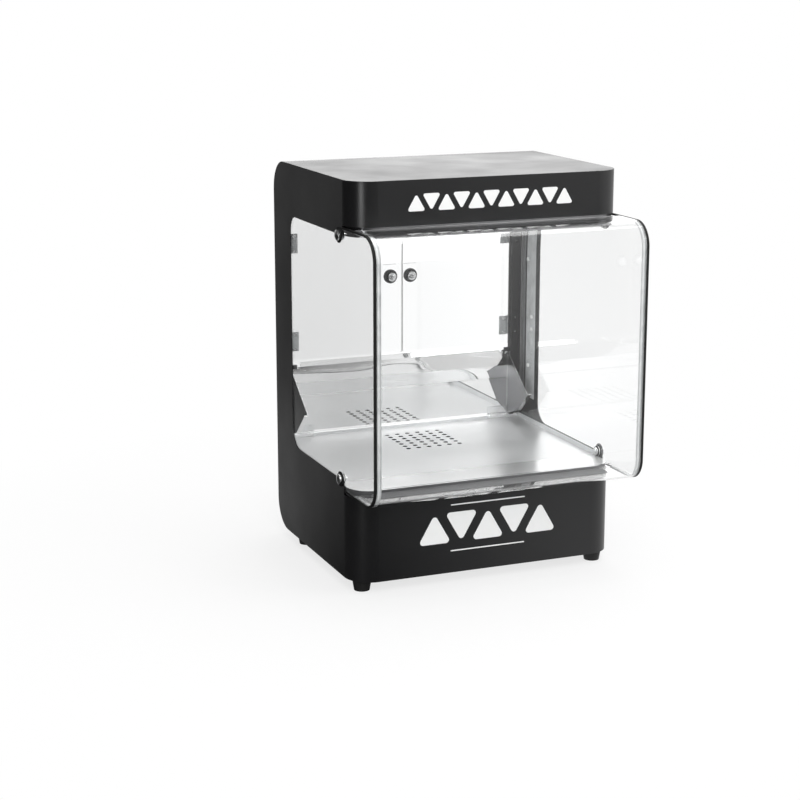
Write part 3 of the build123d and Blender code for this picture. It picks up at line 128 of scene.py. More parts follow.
def blend_levels(tree, share, low, high):
    """A level between two, each a number or an output, by a share from 0 to 1."""
    made = add_node(tree, "ShaderNodeMix", {0: share, 2: low, 3: high}, data_type="FLOAT")
    return made.outputs[0]


def object_place(tree):
    """Coordinates in the object's own frame."""
    return add_node(tree, "ShaderNodeTexCoord").outputs["Object"]


def surface_normal(tree):
    """The normal of the surface, before any bump."""
    return add_node(tree, "ShaderNodeNewGeometry").outputs["Normal"]


def coordinate(tree, vector, axis):
    """One coordinate of a vector."""
    return add_node(tree, "ShaderNodeSeparateXYZ", {0: vector}).outputs[axis]


def noise(tree, scale, detail, roughness=0.5, stretch=(1, 1, 1)):
    """Noise over the surface, from 0 to 1, stretched along the object's axes."""
    place = add_node(tree, "ShaderNodeMapping", {"Vector": object_place(tree), "Scale": stretch})
    made = add_node(tree, "ShaderNodeTexNoise", {
        "Vector": place.outputs["Vector"], "Scale": scale, "Detail": detail,
        "Roughness": roughness})
    return made.outputs["Fac"]


def bump(tree, height, distance, strength=1.0, normal=None):
    """A bumped normal, on top of another normal if one is given."""
    inputs = {"Height": height, "Distance": distance, "Strength": strength}
    if normal:
        inputs["Normal"] = normal
    return add_node(tree, "ShaderNodeBump", inputs).outputs["Normal"]


def soft_edges(tree, radius):
    """Normals that round off the edges of sheets and blocks."""
    return add_node(tree, "ShaderNodeBevel", {"Radius": radius}, samples=4).outputs["Normal"]


def edge_wear(tree, radius, worn):
    """0 on flat sheet, rising to a share on its edges and folds."""
    alike = add_node(tree, "ShaderNodeVectorMath", {
        0: soft_edges(tree, radius), 1: surface_normal(tree)}, operation="DOT_PRODUCT")
    return spread(tree, alike.outputs["Value"], worn, 0.0, start=0.75, end=0.99)


def facing_share(tree, axis, low, high):
    """A share that goes from low to high as a face turns along an axis, either way."""
    size = calculate(tree, "ABSOLUTE", coordinate(tree, surface_normal(tree), axis))
    return spread(tree, size, low, high)


def circle_share(tree, x, y, radius):
    """1 inside a circle seen from above, falling to 0 just outside it."""
    flat = add_node(tree, "ShaderNodeVectorMath", {
        0: object_place(tree), 1: (1, 1, 0)}, operation="MULTIPLY")
    away = add_node(tree, "ShaderNodeVectorMath", {
        0: flat.outputs[0], 1: (x, y, 0)}, operation="DISTANCE")
    return spread(tree, away.outputs["Value"], 1.0, 0.0, start=radius, end=radius + 2 * MM)


# ---------------------------------------------------------------- materials


def paint(name, colour, rough):
    """Satin powder coat with a faint orange peel, soft edges and cloudy gloss."""
    made = new_material(name)
    tree = made.node_tree
    cloud = noise(tree, 9.0, detail=5.0)
    peel = noise(tree, 620.0, detail=2.0)
    speck = spread(tree, noise(tree, 2600.0, detail=1.0), 0.0, 1.0, start=0.35, end=0.75)
    mottle = calculate(tree, "ADD", speck, edge_wear(tree, 1.0 * MM, 0.5))
    lighter = [c * 1.6 + 0.002 for c in colour]
    return finish_surface(made, principled(tree, {
        "Base Color": blend_colours(tree, mottle, colour, lighter),
        "Roughness": spread(tree, cloud, *rough), "Specular IOR Level": 0.45,
        "Normal": bump(tree, peel, 0.05 * MM, 0.6, soft_edges(tree, 0.6 * MM))}))


def steel(name, colour, rough, clouds, wave, buckle_z=None, upright=None, within=None,
          cheeks=None, metallic=1.0, edge=0.2 * MM):
    """Stainless sheet with a fine grain along X, a cloudy polish and a slight waviness.

    It can have buckles that set in over a range of heights, painted shade on its upright
    faces, everywhere or within a circle, and painted shade on the faces that look sideways.
    """
    made = new_material(name)
    tree = made.node_tree
    lines = noise(tree, 260.0, detail=3.0, roughness=0.6, stretch=(0.06, 1, 1))
    smudge = noise(tree, 7.0, detail=6.0, roughness=0.6)
    drift = noise(tree, 5.0, detail=1.0, stretch=(1.4, 0.7, 1))
    mottle = calculate(
        tree, "ADD", spread(tree, drift, 0.0, 0.75), spread(tree, lines, 0.0, 0.25))
    tone = blend_colours(tree, mottle, [c * (1 - clouds) for c in colour], colour)
    # A darker colour on upright faces: painted shade
    if upright:
        share = facing_share(tree, "Z", 1.0, 0.0)
        if within:
            share = calculate(tree, "MULTIPLY", share, circle_share(tree, *within))
        shade = blend_colours(tree, lines, [c * 0.75 for c in upright], upright)
        tone = blend_colours(tree, share, tone, shade)
    # A darker colour on faces that look sideways: painted shade
    if cheeks:
        tone = blend_colours(tree, facing_share(tree, "X", 0.0, 1.0), tone, cheeks)
    polish = calculate(tree, "ADD", lines, smudge)
    ripple = noise(tree, 4.2, detail=1.0)
    normal = bump(tree, ripple, wave, 1.0, soft_edges(tree, edge))
    if buckle_z:
        reach = spread(tree, coordinate(tree, object_place(tree), "Z"), 0.0, 1.0, *buckle_z)
        waves = noise(tree, 17.0, detail=0.0, stretch=(0.5, 1, 1.6))
        normal = bump(tree, calculate(tree, "MULTIPLY", waves, reach), 2.4 * MM, 1.0, normal)
    return finish_surface(made, principled(tree, {
        "Base Color": tone, "Metallic": metallic,
        "Roughness": spread(tree, polish, *rough, start=0.75, end=1.25),
        "Normal": bump(tree, lines, 0.004 * MM, 0.4, normal)}))


def polished_metal(name, colour, rough):
    """Turned or pressed metal fittings with faint wear in the gloss."""
    made = new_material(name)
    tree = made.node_tree
    wear = noise(tree, 240.0, detail=3.0)
    dull = [c * 0.82 for c in colour]
    return finish_surface(made, principled(tree, {
        "Base Color": blend_colours(tree, spread(tree, wear, 0.0, 1.0), dull, colour),
        "Metallic": 1.0, "Roughness": spread(tree, wear, *rough),
        "Normal": bump(tree, wear, 0.02 * MM, 0.3, soft_edges(tree, 0.3 * MM))}))


def moulded(name, colour, rough, grain_scale):
    """Plastic, rubber, print, ceramic or painted light, with a fine grain and cloudy gloss."""
    made = new_material(name)
    tree = made.node_tree
    grain = noise(tree, grain_scale, detail=2.0)
    cloud = noise(tree, 40.0, detail=4.0)
    lighter = [min(c * 1.35 + 0.003, 0.97) for c in colour]
    return finish_surface(made, principled(tree, {
        "Base Color": blend_colours(tree, spread(tree, cloud, 0.0, 1.0), colour, lighter),
        "Roughness": spread(tree, cloud, *rough), "Specular IOR Level": 0.3,
        "Normal": bump(tree, grain, 0.04 * MM, 0.5, soft_edges(tree, 0.3 * MM))}))


def clear_sheet(name, colour, roughness):
    """Clear acrylic: a solid sheet that bends light, and lets lamps through."""
    made = new_material(name)
    tree = made.node_tree
    haze = noise(tree, 14.0, detail=5.0)
    glass = principled(tree, {
        "Base Color": (*colour, 1), "Transmission Weight": 1.0, "IOR": 1.49,
        "Roughness": spread(tree, haze, roughness * 0.4, roughness)})
    through = add_node(tree, "ShaderNodeBsdfTransparent", {"Color": (0.95, 0.96, 0.96, 1)})
    path = add_node(tree, "ShaderNodeLightPath").outputs
    lamplight = calculate(tree, "MAXIMUM", path["Is Shadow Ray"], path["Is Diffuse Ray"])
    mixed = add_node(tree, "ShaderNodeMixShader", {0: lamplight, 1: glass, 2: through.outputs[0]})
    return finish_surface(made, mixed.outputs[0])


def glowing(name, colour, glow, strength):
    """Frosted glass lit from behind, with faint clouds in its glow."""
    made = new_material(name)
    tree = made.node_tree
    frost = noise(tree, 900.0, detail=2.0)
    cloud = noise(tree, 5.0, detail=2.0, stretch=(1, 3, 1))
    return finish_surface(made, principled(tree, {
        "Base Color": (*colour, 1), "Roughness": 0.55, "Emission Color": (*glow, 1),
        "Emission Strength": spread(tree, cloud, 0.85 * strength, 1.1 * strength),
        "Normal": bump(tree, frost, 0.05 * MM, 0.5)}))


def heat_tinted(name):
    """Dark sheathed element with straw and blue heat tints."""
    made = new_material(name)
    tree = made.node_tree
    tint = noise(tree, 30.0, detail=4.0)
    tone = blend_colours(
        tree, spread(tree, tint, 0.0, 1.0), (0.16, 0.12, 0.08), (0.1, 0.11, 0.15))
    return finish_surface(made, principled(tree, {
        "Base Color": tone, "Metallic": 0.9, "Roughness": spread(tree, tint, 0.3, 0.5)}))


# One material for each slot of the record. A pair of numbers is the range of the roughness.
MATERIALS = {
    "black_paint": paint("black_paint", (0.006, 0.006, 0.0065), (0.28, 0.38)),
    "stainless": steel("stainless", (0.84, 0.845, 0.85), (0.3, 0.4), 0.08, 0.3 * MM),
    # The flap's cheeks and other faces that look sideways get a darker colour: painted shade
    "bright_stainless": steel(
        "bright_stainless", (0.93, 0.93, 0.93), (0.015, 0.05), 0.05, 0.4 * MM,
        buckle_z=(0.262, 0.285), cheeks=(0.16, 0.16, 0.165), edge=0.9 * MM),
    "clear_panel": clear_sheet("clear_panel", (0.985, 0.988, 0.988), 0.012),
    "black_trim": moulded("black_trim", (0.003, 0.003, 0.003), (0.6, 0.75), 1500.0),
    "bright_metal": polished_metal("bright_metal", (0.94, 0.945, 0.95), (0.14, 0.26)),
    "black_plastic": moulded("black_plastic", (0.016, 0.016, 0.017), (0.32, 0.45), 1800.0),
    "foot_rubber": moulded("foot_rubber", (0.012, 0.012, 0.012), (0.5, 0.7), 1200.0),
    "zinc": polished_metal("zinc", (0.56, 0.57, 0.58), (0.3, 0.45)),
    "frosted_panel": glowing("frosted_panel", (0.9, 0.9, 0.88), (1.0, 0.98, 0.96), 2.8),
    "lamp_glass": glowing("lamp_glass", (0.95, 0.94, 0.9), (1.0, 0.97, 0.94), 3.0),
    "heater_metal": heat_tinted("heater_metal"),
    "ceramic_white": moulded("ceramic_white", (0.72, 0.71, 0.68), (0.2, 0.35), 700.0),
}
STRIP_GREY = moulded("strip_grey", (0.14, 0.14, 0.143), (0.45, 0.6), 300.0)
HINGE_METAL = moulded("hinge_metal", (0.5, 0.5, 0.505), (0.3, 0.45), 900.0)
WHITE_PRINT = moulded("white_print", (0.95, 0.95, 0.94), (0.45, 0.6), 1500.0)
# Pale colour for the shield beads, the lip beside each side pane and the flap's folds: a painted
# highlight
PAINTED_EDGE_HIGHLIGHT = moulded("painted_edge_highlight", (0.78, 0.785, 0.79), (0.2, 0.35), 900.0)
# Pale and grey colours for the strips beside each side pane: painted reflection
PANE_PAINTED_REFLECTION = moulded("pane_painted_reflection", (0.62, 0.625, 0.63), (0.3, 0.5), 700.0)
CORNER_PAINTED_REFLECTION = moulded("corner_painted_reflection", (0.2, 0.2, 0.205), (0.3, 0.5), 700.0)
# Near-black colour for the screw sockets: painted shade
RECESS_PAINTED_SHADE = moulded("recess_painted_shade", (0.02, 0.02, 0.02), (0.5, 0.7), 900.0)

# Nodes with a material of their own
# Painted shade for the upright faces of the nose and liner, standing for the dark front that they
# reflect
UPRIGHT_PAINTED_SHADE = (0.22, 0.22, 0.225)
# Painted shade on the walls of the deck's holes, within the perforated field
HOLE_WALL_PAINTED_SHADE = (0.01, 0.01, 0.01)
HOLE_FIELD = (-10 * MM, 65 * MM, 125 * MM)      # x and y of its middle, and its radius
OWN_MATERIALS = {
    "deck_nose": steel("nose_steel", (0.93, 0.93, 0.93), (0.16, 0.26), 0.06, 0.4 * MM,
                       upright=UPRIGHT_PAINTED_SHADE, metallic=0.6),
    "head_liner": steel("liner_steel", (0.9, 0.9, 0.9), (0.16, 0.26), 0.06, 0.3 * MM,
                        upright=UPRIGHT_PAINTED_SHADE),
    "deck_plate": steel("deck_steel", (0.86, 0.865, 0.87), (0.28, 0.38), 0.12, 0.3 * MM,
                        upright=HOLE_WALL_PAINTED_SHADE, within=HOLE_FIELD, metallic=0.55),
    "door_left_hinge_leaves": HINGE_METAL,
    "door_right_hinge_leaves": HINGE_METAL,
    "door_hinge_plates": HINGE_METAL,
    "pane_studs": WHITE_PRINT,
}

for entry in frame["record"]["subparts"]:
    node = entry["node"]
    mesh = NODES[node].data
    mesh.materials.clear()
    mesh.materials.append(OWN_MATERIALS.get(node) or MATERIALS[entry["material_slot"]])

# ---------------------------------------------------------------- mesh helpers

GAP = 0.02 * MM                                 # keeps a piece just off what carries it
PRINT_T = 0.12 * MM


def piece(name, build, material, body):
    """A mesh piece filled in by a function, which rides on a body."""
    mesh = bpy.data.meshes.new(name)
    work = bmesh.new()
    build(work)
    bmesh.ops.recalc_face_normals(work, faces=work.faces)
    work.to_mesh(mesh)
    work.free()
    mesh.materials.append(material)
    made = bpy.data.objects.new(name, mesh)
    bpy.context.scene.collection.objects.link(made)
    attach(made, body)
    return made


def band(work, first, second):
    """Faces between two closed loops with as many points."""
    count = len(first)
    for i in range(count):
        after = (i + 1) % count
        work.faces.new((first[i], first[after], second[after], second[i]))


def slab(work, outline, place, thickness):
    """A plate with an outline in its own XY plane, raised along its own Z, set by a matrix."""
    low, high = (
        [work.verts.new(place @ Vector((x, y, z))) for x, y in outline] for z in (0, thickness))
    work.faces.new(low[::-1])
    work.faces.new(high)
    band(work, low, high)


def rectangle(low_x, low_y, high_x, high_y):
    """Corners of a rectangle."""
    return [(low_x, low_y), (high_x, low_y), (high_x, high_y), (low_x, high_y)]


def centred(width, height):
    """Corners of a rectangle round the middle."""
    return rectangle(-width / 2, -height / 2, width / 2, height / 2)


def rounded_polygon(corners, radius, steps=5):
    """Outline with each corner replaced by an arc."""
    outline = []
    count = len(corners)
    for i, corner in enumerate(corners):
        corner = Vector(corner)
        before = (Vector(corners[i - 1]) - corner).normalized()
        after = (Vector(corners[(i + 1) % count]) - corner).normalized()
        half = before.angle(after) / 2
        reach = radius / math.tan(half)
        centre = corner + (before + after).normalized() * (radius / math.sin(half))
        start = corner + before * reach - centre
        turn = start.angle_signed(corner + after * reach - centre)
        for step in range(steps + 1):
            spoke = start.copy()
            spoke.rotate(Matrix.Rotation(-turn * step / steps, 2))
            outline.append(tuple(centre + spoke))
    return outline


def disc_outline(radius, sides):
    """Regular outline round the middle."""
    turns = [math.tau * i / sides for i in range(sides)]
    return [(radius * math.cos(turn), radius * math.sin(turn)) for turn in turns]


def ring(work, radius, width, place, thickness, sides=32):
    """A flat ring, set by a matrix."""
    rims = [disc_outline(radius + width / 2, sides), disc_outline(radius - width / 2, sides)]
    outer_low, outer_high, inner_low, inner_high = (
        [work.verts.new(place @ Vector((x, y, z))) for x, y in rim]
        for rim in rims for z in (0, thickness))
    for first, second in ((outer_low, outer_high), (outer_high, inner_high),
                          (inner_high, inner_low), (inner_low, outer_low)):
        band(work, first, second)


def stroke(work, points, width, place, thickness):
    """A drawn line of even width along some points, set by a matrix."""
    spots = [Vector(point) for point in points]
    left = []
    right = []
    for i, spot in enumerate(spots):
        heading = (spots[min(i + 1, len(spots) - 1)] - spots[max(i - 1, 0)]).normalized()
        aside = Vector((-heading.y, heading.x)) * (width / 2)
        left.append(tuple(spot + aside))
        right.append(tuple(spot - aside))
    slab(work, left + right[::-1], place, thickness)


def turned(work, profile, place, sides):
    """A solid of revolution about own Z, from its (radius, height) profile."""
    rings = [[work.verts.new(place @ Vector((r * x, r * y, z)))
              for x, y in disc_outline(1.0, sides)] for r, z in profile]
    for low, high in zip(rings, rings[1:]):
        band(work, low, high)
    work.faces.new(rings[0][::-1])
    work.faces.new(rings[-1])


def middle(node):
    """The middle of a node's box."""
    low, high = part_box(node)
    return (low + high) / 2


# Own X to the reader's right, own Y up, own Z out of the face
FRONT_TURN = Matrix(((1, 0, 0, 0), (0, 0, -1, 0), (0, 1, 0, 0), (0, 0, 0, 1)))
REAR_TURN = Matrix(((-1, 0, 0, 0), (0, 0, 1, 0), (0, 1, 0, 0), (0, 0, 0, 1)))


def to_front(x, y, z):
    """Matrix of a detail that faces the front."""
    return Matrix.Translation((x, y, z)) @ FRONT_TURN


def to_rear(x, y, z):
    """Matrix of a detail that faces the rear."""
    return Matrix.Translation((x, y, z)) @ REAR_TURN


# ---------------------------------------------------------------- prints on the front

FRONT_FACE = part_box("base_fascia")[0].y
HEAD_MIDDLE_Z = middle("head_fascia").z
BASE_MIDDLE_Z = middle("base_fascia").z
CHIP_CORNER = 0.09                              # corner radius as a share of the side
HEAD_CHIPS, HEAD_CHIP_PITCH, HEAD_CHIP_SIDE = 11, 27 * MM, 33 * MM
BASE_CHIPS, BASE_CHIP_PITCH, BASE_CHIP_SIDE = 5, 50 * MM, 62 * MM
BASE_CHIP_RISE = 8 * MM
RULE_L = 140 * MM
RULE_W = 2.2 * MM
RULE_RISES = (48 * MM, -34 * MM)


def chips_row(work, count, pitch, side, z):
    """A row of rounded triangles that point up and down in turn."""
    half = side / 2
    rise = side * math.sqrt(3) / 4
    for i in range(count):
        x = (i - (count - 1) / 2) * pitch
        tip = 1 if i % 2 == 0 else -1
        corners = [(-half * tip, -rise * tip), (half * tip, -rise * tip), (0, rise * tip)]
        slab(work, rounded_polygon(corners, side * CHIP_CORNER),
             to_front(x, FRONT_FACE, z), PRINT_T)


def rule_line(work, z):
    """A thin horizontal stripe with round ends."""
    slab(work, rounded_polygon(centred(RULE_L, RULE_W), RULE_W * 0.49),
         to_front(0, FRONT_FACE, z), PRINT_T)


def head_print(work):
    chips_row(work, HEAD_CHIPS, HEAD_CHIP_PITCH, HEAD_CHIP_SIDE, HEAD_MIDDLE_Z)


def base_print(work):
    chips_row(work, BASE_CHIPS, BASE_CHIP_PITCH, BASE_CHIP_SIDE, BASE_MIDDLE_Z + BASE_CHIP_RISE)
    for rise in RULE_RISES:
        rule_line(work, BASE_MIDDLE_Z + rise)


piece("head_print", head_print, WHITE_PRINT, "cabinet")
piece("base_print", base_print, WHITE_PRINT, "cabinet")

# ---------------------------------------------------------------- shield and side panes

# Clear cement beads inside the two upright corners of the shield, drawn pale and opaque as a
# painted highlight of the light in the sheet's edges
SHIELD_LOW, SHIELD_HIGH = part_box("shield_front")
SHEET_T = 3.0 * MM
SHIELD_TOP_R = 42 * MM
SHIELD_LOW_R = 40 * MM
ARC_STEPS = 12
BEAD_W = 8.5 * MM
BEAD_T = 1.6 * MM


def quarter_arc(centre_y, centre_z, radius, start):
    """Points on a quarter of a circle, from a starting angle on."""
    turns = [start + math.pi / 2 * i / ARC_STEPS for i in range(ARC_STEPS + 1)]
    return [(centre_y + radius * math.cos(turn), centre_z + radius * math.sin(turn))
            for turn in turns]


def bead_path(inset):
    """Side view of the shield from its top edge round the front to its foot, moved inward."""
    front_y = SHIELD_LOW.y + inset
    top_z = SHIELD_HIGH.z - inset
    foot_z = SHIELD_LOW.z + inset
    top_r = SHIELD_TOP_R - inset
    low_r = SHIELD_LOW_R - inset
    return [(SHIELD_HIGH.y, top_z),
            *quarter_arc(front_y + top_r, top_z - top_r, top_r, math.pi / 2),
            *quarter_arc(front_y + low_r, foot_z + low_r, low_r, math.pi),
            (SHIELD_HIGH.y, foot_z)]


def corner_bead(side):
    """Bead of triangular section, its right angle against the sheet and the side pane."""
    outer_x = SHIELD_HIGH.x - GAP

    def build(work):
        against = bead_path(SHEET_T + GAP)
        inside = bead_path(SHEET_T + BEAD_T)
        rails = [
            [work.verts.new((side * outer_x, y, z)) for y, z in against],
            [work.verts.new((side * (outer_x - BEAD_W), y, z)) for y, z in against],
            [work.verts.new((side * outer_x, y, z)) for y, z in inside],
        ]
        for i in range(len(against) - 1):
            for first, second in ((0, 1), (1, 2), (2, 0)):
                work.faces.new((rails[first][i], rails[first][i + 1],
                                rails[second][i + 1], rails[second][i]))
        work.faces.new([rail[0] for rail in rails])
        work.faces.new([rail[-1] for rail in rails[::-1]])
    return build


for label, side in (("left", -1), ("right", 1)):
    bead = piece(f"shield_bead_{label}", corner_bead(side), PAINTED_EDGE_HIGHLIGHT, "cabinet")
    bead.data.polygons.foreach_set("use_smooth", [True] * len(bead.data.polygons))

# Pale strip behind the edge of each side pane, a grey one in the corner beside it and a pale line
# beside that: painted reflection and highlight of the pane on the rear column
PANEL_T = 1.5 * MM
STRIP_T = 0.1 * MM
STRIP_Z = (228 * MM, 602 * MM)
STRIPS = (
    ("pane_painted_reflection", 166 * MM, 204 * MM, PANE_PAINTED_REFLECTION),
    ("corner_painted_reflection", 209 * MM, 229 * MM, CORNER_PAINTED_REFLECTION),
    ("lip_painted_highlight", 231.2 * MM, 232.8 * MM, PAINTED_EDGE_HIGHLIGHT),
)
for label, side in (("left", -1), ("right", 1)):
    inner_x = side * (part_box("side_panel_right")[1].x - PANEL_T - GAP)
    inward = Matrix(((0, 0, -side, 0), (1, 0, 0, 0), (0, 1, 0, 0), (0, 0, 0, 1)))
    place = Matrix.Translation((inner_x, 0, 0)) @ inward
    for name, low_y, high_y, material in STRIPS:
        def strip(work, low_y=low_y, high_y=high_y, place=place):
            slab(work, rectangle(low_y, STRIP_Z[0], high_y, STRIP_Z[1]), place, STRIP_T)
        piece(f"{name}_{label}", strip, material, "cabinet")

# Grey rubber strip on the foot of the shield, along the nose
FOOT_STRIP_L = 432 * MM
FOOT_STRIP_DEPTH = 34 * MM
FOOT_STRIP_T = 0.5 * MM
FOOT_STRIP_R = 8 * MM
NOSE_GAP = 0.05 * MM


def foot_strip(work):
    rear_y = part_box("deck_nose")[0].y - NOSE_GAP
    place = Matrix.Translation((0, rear_y - FOOT_STRIP_DEPTH / 2, SHIELD_LOW.z + SHEET_T + GAP))
    slab(work, rounded_polygon(centred(FOOT_STRIP_L, FOOT_STRIP_DEPTH), FOOT_STRIP_R),
         place, FOOT_STRIP_T)


piece("shield_strip", foot_strip, STRIP_GREY, "cabinet")

# ---------------------------------------------------------------- flap and doors

# Pale fillets in the folds between the flap's face and its cheeks: a painted highlight on the
# folds
FOLD_W = 2.4 * MM
FLAP_FACE_Y = 232.0 * MM
CHEEK_T = 1.2 * MM
FOLD_FOOT = 14 * MM                             # clear height below a fillet
FOLD_TOP = 16 * MM                              # and above it


def fold_painted_highlights(work):
    low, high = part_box("rear_flap")
    fold_x = high.x - CHEEK_T - GAP
    face_y = FLAP_FACE_Y - GAP
    for side in (-1, 1):
        corner = [(side * fold_x, face_y), (side * (fold_x - FOLD_W), face_y),
                  (side * fold_x, FLAP_FACE_Y - FOLD_W)]
        slab(work, corner, Matrix.Translation((0, 0, low.z + FOLD_FOOT)),
             high.z - low.z - FOLD_FOOT - FOLD_TOP)


piece("flap_fold_painted_highlights", fold_painted_highlights, PAINTED_EDGE_HIGHLIGHT, "flap")

# Domed chrome nut and washer on the inner end of each knob screw
NUT_R = 5.2 * MM
NUT_L = 6.5 * MM
DOME_R = 0.86 * NUT_R
DOME_RISE = 0.8 * NUT_R
DOME_TURNS = [math.radians(degrees) for degrees in range(0, 81, 16)]
WASHER_R = 8.0 * MM
WASHER_T = 1.2 * MM
WASHER_PROFILE = [(WASHER_R, 0), (WASHER_R, WASHER_T * 0.7), (WASHER_R * 0.92, WASHER_T)]
NUT_PROFILE = [(NUT_R, WASHER_T), (NUT_R, WASHER_T + NUT_L)]
DOME_PROFILE = [(DOME_R * math.cos(turn), WASHER_T + NUT_L + DOME_RISE * math.sin(turn))
                for turn in DOME_TURNS]

for label in ("left", "right"):
    knob = middle(f"door_{label}_knob")
    seat = to_front(knob.x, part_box(f"door_{label}")[0].y, knob.z)

    def nut(work, seat=seat):
        turned(work, WASHER_PROFILE, seat, 32)
        turned(work, NUT_PROFILE, seat, 6)
        turned(work, DOME_PROFILE, seat, 24)
    piece(f"knob_nut_{label}", nut, MATERIALS["bright_metal"], f"{label}_door")

# ---------------------------------------------------------------- fittings on the rear

# Dark hexagons on the screw heads of the hinges and the inlet: painted shade in their recesses
HINGE_SCREW_ZS = [z * MM for z in (349, 377, 531, 559)]
RECESS_R = 1.7 * MM
RECESS_T = 0.08 * MM
DOOR_SCREW_X = 210.5 * MM
DOOR_SCREW_FACE = 240.8 * MM
PLATE_SCREW_X = 236.6 * MM
PLATE_SCREW_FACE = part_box("hinge_plate_screws")[1].y
INLET_SCREW_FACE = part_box("inlet_screws")[1].y
INLET_SCREW_STEP = 20 * MM
INLET_X = middle("power_inlet").x
CONTROL_Z = middle("power_inlet").z
REAR_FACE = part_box("base_tray")[1].y


def recesses(name, body, spots):
    """Dark hexagons on screw heads that face the rear: painted shade for their sockets."""
    def build(work):
        for spot in spots:
            slab(work, disc_outline(RECESS_R, 6), to_rear(*spot), RECESS_T)
    piece(name, build, RECESS_PAINTED_SHADE, body)


for label, side in (("left", -1), ("right", 1)):
    recesses(f"door_{label}_socket_painted_shade", f"{label}_door",
             [(side * DOOR_SCREW_X, DOOR_SCREW_FACE, z) for z in HINGE_SCREW_ZS])
recesses("fixed_screw_sockets", "cabinet", [
    *[(side * PLATE_SCREW_X, PLATE_SCREW_FACE, z) for side in (-1, 1) for z in HINGE_SCREW_ZS],
    *[(INLET_X + side * INLET_SCREW_STEP, INLET_SCREW_FACE, CONTROL_Z) for side in (-1, 1)],
])

# Bar and ring on the two halves of each rocker face, and a symbol above each switch
ROCKER_TILT = math.radians(10)
ROCKER_PIVOT_Y = REAR_FACE - 2 * MM
FACE_RISE = 2.0 / 10.8                          # each half of the face rises towards its end
MARK_OUT = 4.6 * MM
MARK_UP = 5.4 * MM
MARK_BAR = (0.9 * MM, 4.4 * MM)
MARK_RING_R = 1.9 * MM
MARK_RING_W = 0.8 * MM
SYMBOL_RISE = 30 * MM
LINE_W = 0.7 * MM
LAMP_R = 2.6 * MM
LAMP_RAYS = 8
RAY_REACH = (4.0 * MM, 6.0 * MM)
WAVE_XS = (-4 * MM, 0, 4 * MM)
WAVE_SWING = 0.9 * MM
WAVE_H = 11 * MM
WAVE_TURNS = 1.5
WAVE_STEPS = 24


def on_rocker(x, end):
    """Matrix of a mark on the upper (1) or lower (-1) half of a rocker's face."""
    outward = Vector((0, math.cos(ROCKER_TILT), -math.sin(ROCKER_TILT)))
    upward = Vector((0, math.sin(ROCKER_TILT), math.cos(ROCKER_TILT)))
    slope = (upward + outward * FACE_RISE * end).normalized()
    facing = Vector((-1, 0, 0)).cross(slope)
    pivot = Vector((x, ROCKER_PIVOT_Y, CONTROL_Z))
    turn = Matrix(((-1, slope.x, facing.x, 0), (0, slope.y, facing.y, 0),
                   (0, slope.z, facing.z, 0), (0, 0, 0, 1)))
    return Matrix.Translation(pivot + outward * MARK_OUT + upward * MARK_UP * end) @ turn


def lamp_symbol(work, place):
    """A small lamp with rays."""
    ring(work, LAMP_R, LINE_W, place, PRINT_T)
    for x, y in disc_outline(1.0, LAMP_RAYS):
        stroke(work, [(reach * x, reach * y) for reach in RAY_REACH], LINE_W, place, PRINT_T)


def heat_symbol(work, place):
    """Three wavy lines that rise side by side."""
    shares = [i / WAVE_STEPS for i in range(WAVE_STEPS + 1)]
    for x in WAVE_XS:
        wave = [(x + WAVE_SWING * math.sin(math.tau * WAVE_TURNS * share), (share - 0.5) * WAVE_H)
                for share in shares]
        stroke(work, wave, LINE_W, place, PRINT_T)


for label, draw in (("light", lamp_symbol), ("heat", heat_symbol)):
    switch_x = middle(f"{label}_switch_rocker").x

    def marks(work, x=switch_x):
        slab(work, centred(*MARK_BAR), on_rocker(x, 1), RECESS_T)
        ring(work, MARK_RING_R, MARK_RING_W, on_rocker(x, -1), RECESS_T)

    def symbol(work, x=switch_x, draw=draw):
        draw(work, to_rear(x, REAR_FACE, CONTROL_Z + SYMBOL_RISE))

    piece(f"{label}_rocker_marks", marks, WHITE_PRINT, f"{label}_rocker")
    piece(f"{label}_symbol", symbol, WHITE_PRINT, "cabinet")

# Metal sleeves on the three pins in the inlet
PIN_SPOTS = [(-7.0 * MM, -1.5 * MM), (0.0, 2.5 * MM), (7.0 * MM, -1.5 * MM)]
PIN_SECTION = (2.2 * MM, 4.2 * MM)
PIN_CORNER = 0.5 * MM
PIN_DEPTH = 13.5 * MM
PIN_L = 9.7 * MM


def inlet_pins(work):
    for x, z in PIN_SPOTS:
        place = to_rear(INLET_X + x, REAR_FACE - PIN_DEPTH, CONTROL_Z + z)
        slab(work, rounded_polygon(centred(*PIN_SECTION), PIN_CORNER, 3), place, PIN_L)


piece("inlet_pin_sleeves", inlet_pins, MATERIALS["bright_metal"], "cabinet")

# ---------------------------------------------------------------- stage, light and camera

FLOOR_HALF = 30.0
WORLD_LEVEL = 0.45
THROUGH_WHITE = 1.1                             # makes up for what clear sheet takes away
MIDDLE = tuple((cad_low + cad_high) / 2)
# Name, place, size and power in watts
LIGHTS = (
    ("left_box", (-1.75, -1.45, 0.32), 0.5, 7),
    ("front_box", (-0.9, -3.0, 2.4), 1.6, 50),
    ("right_box", (2.0, -1.2, 1.7), 1.2, 20),
    ("top_box", (0.3, 0.2, 2.6), 1.6, 24),
    ("back_box", (1.1, 2.5, 1.35), 2.0, 13),
)


